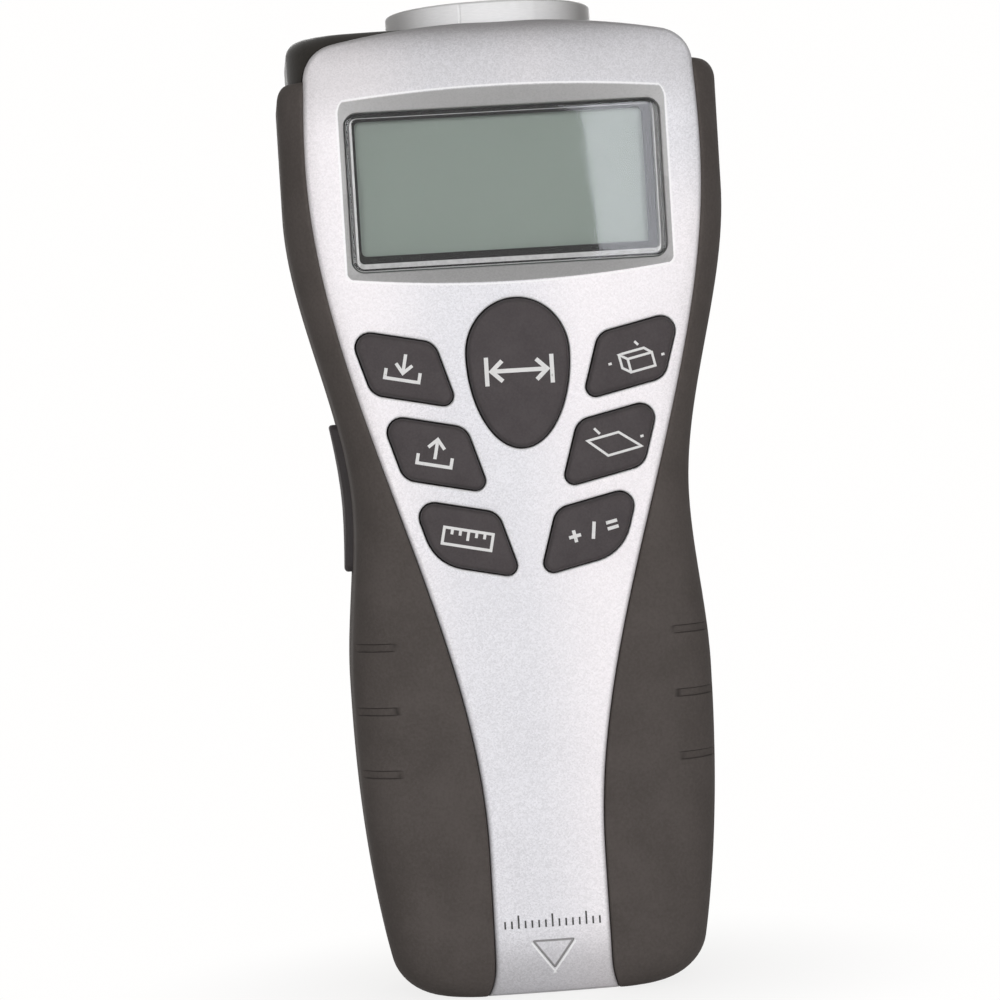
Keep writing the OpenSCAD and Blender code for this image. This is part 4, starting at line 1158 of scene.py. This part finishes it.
black_plastic, place, shader = finish("shell_plastic_black", {"Specular IOR Level": 0.15})
grain = place.noise(1900.0, 4.0, 0.6)
tone = (grain * 0.5 + place.noise(90.0, 3.0) * 0.5).ramp(0.3, 0.72)
tone = tone.blend((0.015, 0.013, 0.0105, 1), (0.025, 0.0215, 0.018, 1))
coat(shader, tone, grain * 0.2 + 0.4 - place.worn() * 0.08, bumped(grain, 0.00003))
front_shell = relief(
    shell_outline, lambda p: case_front(p[:, 0], p[:, 1], grip_t), edge=2.0, skirt=2.0, skirt_y=split_y,
    holes=[], side=1, pitch=2.4, bands=shell_bands, roll=0.1,
)
front_frame = piece("front_frame_shell", front_shell, black_plastic, "case", ["front_frame"])
laser_bore = prism(circle(*laser_at, laser_bore_r, 48), 138, 150, "Z")
cut(front_frame, prism(face_outline(fit), -40, panel_y, "Y"))
cut(front_frame, sensor_bore().add(laser_bore))


# Sensor end: a satin silver collar round a black horn, with a perforated metal grille over the round
# sound transducer at the bottom of it. The collar's ring closes in a fine seam at the front.
collar_z = (139.5, 147.0)
collar_r = 15.5
collar_in = 13.9
collar_top_band_z = 146.6
lip_out = 0.55
lip_in = 0.35
flange_r = 16.3
flange_z = 141.8
seam_x = -5.2
horn_mouth = (12.95, 145.7)
horn_run = (5.35, 7.6)


def collar_ring(r):
    """A ring of the collar, let in a little where its seam runs down the front."""
    whole = 2 * math.pi
    seam = math.atan2(-math.sqrt(collar_r ** 2 - seam_x ** 2), seam_x)
    a = np.linspace(0, whole, 129)[:-1]
    off = np.array((-0.016, -0.006, 0.006, 0.016))
    a = np.sort(np.concatenate([a[np.abs(a - seam % whole) > 0.03], (seam + off) % whole]))
    groove = np.abs(a - seam % whole) < 0.01
    radius = r - 0.1 * groove * (r > collar_r - 1)
    return pairs(sensor_at[0] + radius * np.cos(a), sensor_at[1] + radius * np.sin(a))


def turned(profile, at, count=96, closed=True):
    """A round piece: a profile of radius and height spun about an upright axis at a place in X and Y."""
    steps = [(circle(*at, r, count), z) for r, z in profile]
    return loft(steps, "joined" if closed else "fans", "Z")


def bored(shape, punch):
    both = {"Mesh 1": shape, "Mesh 2": punch}
    return shape.node("GeometryNodeMeshBoolean", both, operation="DIFFERENCE")


def gathered(shapes):
    """Several shapes of a tree as one."""
    whole = shapes[0].node("GeometryNodeJoinGeometry", {})
    for shape in shapes:
        whole.tree.links.new(shape.socket, whole.socket.node.inputs[0])
    return whole


collar_profile = [(collar_in, collar_z[0]), (flange_r, collar_z[0])]
collar_profile += [(flange_r, flange_z), (collar_r, flange_z)]
collar_profile += [(collar_r - down, collar_z[1] - back) for back, down, _ in quarter(lip_out)]
inner_top = collar_in + lip_in
collar_profile += [(inner_top - lip_in * over, collar_z[1] - down) for _, down, over in quarter(lip_in)]
collar = loft([(collar_ring(r), z, float(z > collar_top_band_z)) for r, z in collar_profile], "joined", "Z")
collar_silver, place, shader = finish("collar_satin_silver", {"Metallic": 0.04, "Specular IOR Level": 0.15})
across_it = place.node("ShaderNodeVectorMath", {0: place, 1: (1.0, 1.0, 9.0)}, operation="MULTIPLY")
brushed = across_it.noise(900.0, 3.0)
worn = place.worn()
# Painted shade: the satin silver darkens towards the collar's sides, more on its right, and over its top.
turned_away = place.axis(1).ramp(-0.0135, -0.005) * 0.65
far_side = place.axis(0)
far_side = far_side.ramp(0.0054, 0.0064) * 0.1 + far_side.ramp(0.006, 0.0146) * 0.25
shaded = (turned_away + far_side + worn.ramp(0.4, 1.0) * 0.3).sum("MINIMUM", 0.9)
satin = brushed.blend((0.7, 0.696, 0.7, 1), (0.85, 0.845, 0.85, 1))
satin = shaded.blend(satin, (0.26, 0.25, 0.243, 1))
coat(shader, satin, brushed * 0.14 + 0.36 - worn * 0.05, bumped(brushed, 0.000012))
piece("sensor_collar_ring", collar, collar_silver, "case", ["sensor_collar"], 32)

horn_profile = [(13.8, 143.8), (13.8, 145.55), (13.55, 145.8), (13.2, 145.8)]
for i in range(13):
    t = i / 12
    horn_profile.append((horn_mouth[0] - horn_run[0] * t ** 0.72, horn_mouth[1] - horn_run[1] * t ** 1.25))
horn_profile += [(7.6, 137.15), (8.9, 137.15), (8.9, 125.0), (10.0, 125.0), (10.0, 137.5)]
horn_sheen = {"Specular IOR Level": 0.45}
horn_black = moulded("horn_plastic_black", grey(0.012), grey(0.02), 0.34, 1500.0, 0.00001, horn_sheen)
horn = turned(horn_profile, sensor_at)
piece("sensor_horn_flare", horn, horn_black, "case", ["sensor_horn"], 32)

grille_sizes = {
    "Plate radius": 0.00885, "Plate thickness": 0.00095, "Hole radius": 0.0008, "Ring step": 0.0025,
    "Height": 0.1361, "Depth": 0.001,
}
size = maker("transducer_grille", grille_sizes)
height = size["Height"]
thick = size["Plate thickness"]
middle = height.vector(0.0, size["Depth"], height + thick * 0.5)
plate = {"Vertices": 72, "Radius": size["Plate radius"], "Depth": thick}
plate = shifted(height.node("GeometryNodeMeshCylinder", plate), middle)
punch = {"Vertices": 20, "Radius": size["Hole radius"], "Depth": thick * 3.0}
punch = height.node("GeometryNodeMeshCylinder", punch)
rings = []
for count, radius in ((12, size["Ring step"] * 2.0), (6, size["Ring step"]), (3, 0.0)):
    ring = {"Vertices": count, "Radius": radius}
    rings.append(height.node("GeometryNodeMeshCircle", ring, fill_type="NONE"))
holes = {"Geometry": gathered(rings), "Distance": 0.0001}
holes = shifted(height.node("GeometryNodeMergeByDistance", holes), middle)
punches = height.node("GeometryNodeRealizeInstances", {"Geometry": copies(holes, punch)})
grille_metal = moulded("grille_nickel", grey(0.34), grey(0.46), 0.25, 1600.0, 0.00001, bare_metal)
grille = grow("transducer_grille_plate", bored(plate, punches), grille_sizes, grille_metal)
seated(grille, "case", ["transducer_grille"])
yellow = ((0.42, 0.3, 0.02, 1), (0.5, 0.37, 0.03, 1))
lead_sheen = {"Specular IOR Level": 0.4}
dress_all([
    ("transducer_aluminium", grey(0.5), grey(0.62), 0.3, 1100.0, 0.00001, bare_metal, ["transducer"]),
    ("boot_rubber_black", grey(0.02), grey(0.032), 0.6, 1700.0, 0.00002, ["transducer_boot"]),
    ("sensor_lead_yellow", *yellow, 0.4, 1400.0, 0.00001, lead_sheen, ["sensor_leads"]),
])


# Laser pointer: a brass barrel with a small lens, standing in the taller left shoulder behind a red
# filter that is glued flush into the top of the case.
filter_profile = [(3.4, 141.9), (3.4, 143.05), (3.33, 143.2), (3.15, 143.3), (2.2, 143.3), (1.0, 143.3)]
filter_gloss = {"Coat Weight": 0.8, "Coat Roughness": 0.04, "IOR": 1.5}
red_filter, place, shader = finish("laser_filter_red", filter_gloss)
depths = place.noise(240.0)
red_tone = depths.blend((0.1, 0.004, 0.006, 1), (0.17, 0.008, 0.01, 1))
coat(shader, red_tone, depths * 0.06 + 0.1, bumped(depths, 0.000005))
filter_disc = turned(filter_profile, laser_at, 48, False)
piece("laser_window_disc", filter_disc, red_filter, "case", ["laser_window"])
brass = ((0.5, 0.36, 0.13, 1), (0.62, 0.46, 0.19, 1))
pale_glass = ((0.5, 0.56, 0.6, 1), (0.6, 0.66, 0.7, 1))
lead_blue = ((0.012, 0.02, 0.12, 1), (0.018, 0.03, 0.17, 1))
dress_all([
    ("laser_barrel_brass", *brass, 0.26, 1200.0, 0.00001, bare_metal, ["laser_module"]),
    ("laser_lens_glass", *pale_glass, 0.06, 500.0, 0.000002, {"Coat Weight": 1.0}, ["laser_lens"]),
    ("laser_lead_blue", *lead_blue, 0.4, 1400.0, 0.00001, ["laser_lead"]),
])


# Side key: a long narrow bar of the same rubber in the left side, which presses a switch on its own
# small board. It follows the waist of the grip and stands a little out of it.
side_z = 74.8
side_y = 5.0
side_half = (2.5, 11.25)
side_proud = 1.2
side_fillet = 0.6
side_flange_w = 0.95
side_flange_in = (4.1, 5.1)
side_plunger_r = 1.5
side_plunger_x = (-20.8, -17.95)


def side_outline(g):
    """The side key's outline in Y and Z, moved outward by g."""
    return oblong(side_half, (side_y, side_z), 1.1, g)


def left_side_at(inset):
    """A distance function: the left grip's surface moved inward."""
    return lambda p: inset - grip_half(p[:, 1])


side_flange = [left_side_at(inset) for inset in side_flange_in]
side_cap = key_cap(side_outline, left_side_at(-side_proud), side_fillet, side_flange_w, *side_flange, "X")
side_cap.add(prism(circle(side_y, side_z, side_plunger_r, 32), *side_plunger_x, "X"))
piece("side_key_bar", side_cap, key_rubber, "side_key", ["side_key"])


# Rear cover: the dark moulded back, thicker at the head than at the palm, with the battery bay let into
# it, four deep screw holes, a slot for the side key and half of the bores for the collar and the laser.
palm_y = 15.5
head_more = 3.9
head_from = 62
head_over = 32
back_base_r = 4
back_top_r = 2.5
back_side_r = 5
door_seat = 12.4
bay_lip = 11.3
bay_floor = -5.05
hinge_at = (14.15, 8.4)
hinge_bore_r = 0.96
hinge_bore_half = 16.9
screw_spots = [(24.5, 113.0), (19.5, 30.0), (-24.5, 113.0), (-19.5, 30.0)]
screw_seat = 8.0
screw_well_r = 2.6
boss_r = 4.0


def case_back(p):
    """Depth of the back at a place, with its rounded sides and ends."""
    x = p[:, 0]
    z = p[:, 1]
    level = palm_y + head_more * soft_step((z - head_from) / head_over)
    level = level - rolled(z, back_base_r, back_base_r) - rolled(case_len - z, back_top_r, back_top_r)
    over = np.clip((np.abs(x) - shell_half(x, z) + back_side_r) / back_side_r, 0, 1)
    return level - back_side_r * (1 - np.sqrt(1 - over ** 2))


def door_room(g):
    """The outline of the battery door's recess and its hinge pocket, moved outward by g."""
    return oblong((15.25, 26.375), (0, 32.875), (0.5, 0.5, 2.75, 2.75), g, 24)


def bay(half_x, low, high):
    return oblong((half_x, (high - low) / 2), (0, (low + high) / 2), 0.8, 0.0, 24)


mouth = bay(13.7, 8.6, 57.5)
room = bay(13.75, 8.55, 62)
bay_steps = [(door_room(0), door_seat), (mouth, door_seat), (mouth, bay_lip)]
bay_steps += [(room, bay_lip), (room, bay_floor)]
outside = bay(15.2, 6.9, 63.5)
bay_walls = [(bay(16.2, 5.2, 63.6), 12.9), (outside, 11.2), (outside, bay_floor - 1.1)]
pockets = [{"lip": door_room, "r": 0.25, "inside": bay_steps, "behind": bay_walls, "bands": [0.4, 1.0]}]
for x, z in screw_spots:
    hole = lambda g, x=x, z=z: circle(x, z, screw_well_r + g, 40)
    boss = [(circle(x, z, boss_r, 40), depth) for depth in (11.0, 2.2)]
    well = [(hole(0), screw_seat)]
    pockets.append({"lip": hole, "r": 0.15, "inside": well, "behind": boss, "bands": [0.4, 0.9]})
back_shell = relief(
    shell_outline, case_back, edge=1.7, skirt=1.7, skirt_y=split_y, holes=pockets, side=-1, pitch=1.7,
    bands=shell_bands, roll=0.06,
)
rear_cover = piece("rear_cover_shell", back_shell, black_plastic, "case", ["rear_cover"])
side_slot = prism(side_outline(0.25), -40, -14, "X")
hinge_bore = prism(circle(*hinge_at, hinge_bore_r, 32), -hinge_bore_half, hinge_bore_half, "X")
cut(rear_cover, sensor_bore().add(laser_bore).add(side_slot).add(hinge_bore))


# Battery: a nine volt block in a plain printed can, standing on end in its bay under a snap cap with
# two thin leads.
battery_at = (0.0, 3.85)
battery_z = (8.8, 54.8)
can_half = (13.25, 8.75)
stud_x = 6.3


def can(inset):
    """The can's outline in X and Y, moved inward."""
    return oblong(can_half, battery_at, 2.4, -inset, 10)


block_steps = [(can(back), battery_z[0] + down) for back, down, _ in quarter(1.0)]
block_steps += [(can(back), battery_z[1] - down) for back, down, _ in reversed(quarter(1.0))]
block = loft(block_steps, axis="Z")
for x, r in ((-stud_x, 2.6), (stud_x, 3.1)):
    stud = [(1.2, 54.0), (3.1, 54.0), (3.1, 55.6), (r, 56.4), (r, 57.0), (r - 0.5, 57.2), (0.6, 57.2)]
    block.add(turned(stud, (x, battery_at[1]), 32, False))
battery_can, place, shader = finish("battery_can_printed", {"Coat Weight": 0.5, "Coat Roughness": 0.18})
shoulder = place.axis(2).ramp(0.0418, 0.0420)
bare = place.axis(2).ramp(0.0536, 0.0540)
scuffs = place.noise(700.0, 4.0, 0.65)
print_tone = scuffs.blend((0.012, 0.012, 0.014, 1), (0.022, 0.022, 0.025, 1))
band_tone = scuffs.blend((0.42, 0.3, 0.13, 1), (0.52, 0.38, 0.18, 1))
can_tone = bare.blend(shoulder.blend(print_tone, band_tone), grey(0.55))
coat(shader, can_tone, scuffs * 0.18 + 0.24, bumped(scuffs, 0.00001), Metallic=shoulder * 0.85)
piece("battery_block", block, battery_can, "case", ["battery"])
lead_red = ((0.26, 0.01, 0.01, 1), (0.34, 0.016, 0.014, 1))
dress_all([
    ("snap_cap_vinyl", grey(0.016), grey(0.026), 0.45, 1200.0, 0.00001, ["battery_snap"]),
    ("battery_lead_red", *lead_red, 0.4, 1400.0, 0.00001, ["battery_leads"]),
])


# Battery door: a flat moulded flap at the palm, hinged on two pins at the base, with five thumb grooves
# near its free end and a foam pad inside that holds the battery down.
door_z = (8.4, 59.0)
door_half = 15
door_y = (13.5, palm_y)
groove_half = (7, 0.5)
groove_first = 5.5
groove_step = 2
groove_floor = (15.05, 15.0)
knuckle_r = 1.35
pin_r = 0.9
pin_half = 16.6


def door_outline(g):
    foot_r = max(0.8, 0.1 - g)
    half = (door_half, (door_z[1] - door_z[0]) / 2)
    return oblong(half, (0, (door_z[0] + door_z[1]) / 2), (foot_r, foot_r, 2.5, 2.5), g, 24)


def hinge_bar(r, half, bevel):
    """A round bar on the hinge's axis with its ends bevelled."""
    profile = [(r - bevel, -half), (r, -half + bevel), (r, half - bevel), (r - bevel, half)]
    return loft([(circle(*hinge_at, radius, 40), x) for radius, x in profile], axis="X")


grooves = []
for i in range(5):
    height = door_z[1] - groove_first - groove_step * i
    groove = lambda g, height=height: oblong(groove_half, (0, height), 0.45, g, 14)
    floor_steps = [(groove(0), groove_floor[0]), (groove(-0.2), groove_floor[1])]
    grooves.append({"lip": groove, "r": 0.15, "inside": floor_steps})
flap = relief(
    door_outline, lambda p: np.full(len(p), door_y[1]), edge=0.5, skirt=1.0, skirt_y=door_y[0],
    holes=grooves, side=-1, pitch=2.2, bands=[0.6, 1.4],
)
flap.add(hinge_bar(knuckle_r, door_half, 0.2)).add(hinge_bar(pin_r, pin_half, 0.15))
piece("battery_door_flap", flap, black_plastic, "door", ["battery_door"])
foam, place, shader = finish("pad_foam_grey", {"Specular IOR Level": 0.15})
pores = place.cells(1600.0)
coat(shader, pores.blend(grey(0.04), grey(0.12)), pores * 0.1 + 0.8, bumped(pores, 0.0002))
dress(foam, "battery_pad")


# Case screws: four cross-head screws set deep in the back, which draw the rear cover, the front frame
# and the grips between them together.
shank = [(0.5, 12.0), (1.1, 10.8), (1.1, 0.0)]
screw_head = [(2.4, 0.0), (2.4, -0.9), (2.3, -1.2), (1.9, -1.45), (0.9, -1.6)]
screw = turned(shank + screw_head, (0, 0), 40, False)
screw.points = [(x, -z, y) for x, y, z in screw.points]
screw_steel = moulded("case_screw_steel", grey(0.42), grey(0.56), 0.26, 1400.0, 0.00001, bare_metal)
screw_sizes = {
    "Head x": 0.0245, "Head z": 0.113, "Foot x": 0.0195, "Foot z": 0.03, "Seat": screw_seat / 1000,
    "Slot length": 0.0032, "Slot width": 0.00075, "Slot depth": 0.0007, "Head height": 0.0016, "Turn": 0.4,
}
size = maker("case_screws", screw_sizes)
seat = size["Seat"]
driven = size["Template"]
for long, short, deep in (("Slot length", "Slot width", 2.0), ("Slot width", "Slot length", 1.9)):
    bar = {"Size": seat.vector(size[long], size["Slot depth"] * deep, size[short])}
    bar = shifted(seat.node("GeometryNodeMeshCube", bar), seat.vector(0.0, size["Head height"]))
    driven = bored(driven, bar)
places = []
for end in ("Head", "Foot"):
    for side in (-1.0, 1.0):
        spot = {"Count": 1, "Position": seat.vector(size[end + " x"] * side, seat, size[end + " z"])}
        places.append(seat.node("GeometryNodePoints", spot))
screws = copies(gathered(places), driven, Rotation=seat.vector(0.0, size["Turn"]))
case_screws = grow("case_screw_set", screws, screw_sizes, screw_steel, meshed("case_screw", screw))
smoothed(case_screws.data, 35)
seated(case_screws, "case", ["case_screws"])


# Grips: two skins of matt dark rubber over the front corners and the sides, from the silver edge round
# to the back, moulded on to the shells, with three short notches in each flank and a rounded top end.
grip_back = 9.0
front_r = 0.5
back_r = 0.9
end_r = 3.0
notch_heights = (34.1, 43.4, 52.8)
notch_half = 0.65
notch_deep = 0.35
notch_x = 20.4
notch_end_y = -11.4
grip_tops = {1: grip_top, -1: grip_top - 0.7}
end_drops = {1: 2.3, -1: 1.65}
notch_rows = notch_half * np.array((-1.3, -1, -0.92, -0.82, -0.7, -0.3, 0.3, 0.7, 0.82, 0.92, 1, 1.3))
grip_levels = [eased(base_r, 14), np.linspace(base_r, 133.5, 78)[1:]]
grip_levels = np.concatenate(grip_levels + [at + notch_rows for at in notch_heights])
edge_run = np.array((0, 0.06, 0.2, 0.42, 0.7, 1))


def followed(s, run, line):
    """Points of a line at distances s along it."""
    return pairs(np.interp(s, run, line[:, 0]), np.interp(s, run, line[:, 1]))


def grip_section(z, side):
    """A section of a grip at height z: its outer and inner lines, its edge wear and its painted notch shade.
    """
    start = float(face_edge(z)) + fit
    half = float(half_width(z))
    x = start + (half - start) * np.sin(np.linspace(0, math.pi / 2, 140))
    y = case_front(x, np.full(len(x), z))
    straight = np.linspace(y[-1], max(grip_back, y[-1] + 2), 60)[1:]
    line = pairs(np.concatenate([x, np.full(59, half)]), np.concatenate([y, straight]))
    run = np.concatenate([[0], np.cumsum(np.linalg.norm(np.diff(line, axis=0), axis=1))])
    total = run[-1]
    middle_run = np.linspace(front_r, total - back_r, 56)[1:-1]
    s = np.concatenate([front_r * edge_run, middle_run, total - back_r * edge_run[::-1]])
    outer = followed(s, run, line)
    tangent = unit(followed(s, run, np.gradient(line, run, axis=0)))
    inward = pairs(-tangent[:, 1], tangent[:, 0])
    inner = outer + inward * (grip_t - 0.05)
    if side > 0:
        inner[:, 0] = np.minimum(inner[:, 0], float(shell_half(np.ones(1), np.array([z]))[0]) + 0.03)
    sunk = rolled(s, front_r, front_r) + rolled(total - s, back_r, back_r)
    shade_level = 0 * s
    for at in notch_heights:
        notch = soft_step((outer[:, 0] - notch_x) / 0.8) * soft_step((1 - abs(z - at) / notch_half) / 0.3)
        runs_out = soft_step((notch_end_y - outer[:, 1]) / 1.2)
        sunk = np.maximum(sunk, notch_deep * notch * runs_out)
        shade_level = np.maximum(shade_level, 4 * notch * (1 - notch) * runs_out)
    ended = rolled(grip_tops[side] - z, end_r, end_drops[side])
    deepest = grip_t - 0.1 + (0.8 if side > 0 else 0.0) * (ended > 0.5)
    outer = outer + inward * np.minimum(sunk + ended, deepest)[:, None]
    worn = np.clip(np.maximum(rolled(s, front_r, 1), rolled(total - s, back_r, 1)), 0, 1)
    return outer, inner, worn - shade_level


def grip_skin(side):
    """A grip's skin: its sections from the base to its top, closed at both ends."""
    steps = []
    for z in np.unique(np.round(np.concatenate([grip_levels, grip_tops[side] - eased(end_r, 10)]), 3)):
        outer, inner, worn = grip_section(float(z), side)
        loop = np.concatenate([outer, inner[::-1]]) * (side, 1)
        steps.append((loop, z, np.concatenate([worn, 0 * worn])))
    shell = loft(steps, "open", "Z")
    count = len(loop)
    for first in (0, len(shell.points) - count):
        last = first + count - 1
        for i in range(count // 2 - 1):
            shell.faces.append((first + i, first + i + 1, last - 1 - i, last - i))
    return shell


grip_rubber, place, shader = finish("grip_rubber_dark", {"Specular IOR Level": 0.06})
grain = place.noise(2300.0, 4.0, 0.62)
worn = place.worn()
tone = (grain * 0.5 + place.noise(120.0, 3.0) * 0.5).ramp(0.3, 0.7)
tone = tone.blend((0.074, 0.064, 0.059, 1), (0.099, 0.086, 0.08, 1))
# Painted shade: the grip darkens along its notches.
painted_shade = (worn * -0.65).sum("MAXIMUM", 0.0)
tone = painted_shade.blend(tone, (0.022, 0.019, 0.018, 1))
coat(shader, tone, grain * 0.16 + 0.64 - worn * 0.08, bumped(grain, 0.00003))
piece("right_grip_skin", grip_skin(1), grip_rubber, "case", ["right_grip"])
left_grip = piece("left_grip_skin", grip_skin(-1), grip_rubber, "case", ["left_grip"])
cut(left_grip, prism(side_outline(0.3), -40, -10, "X"))
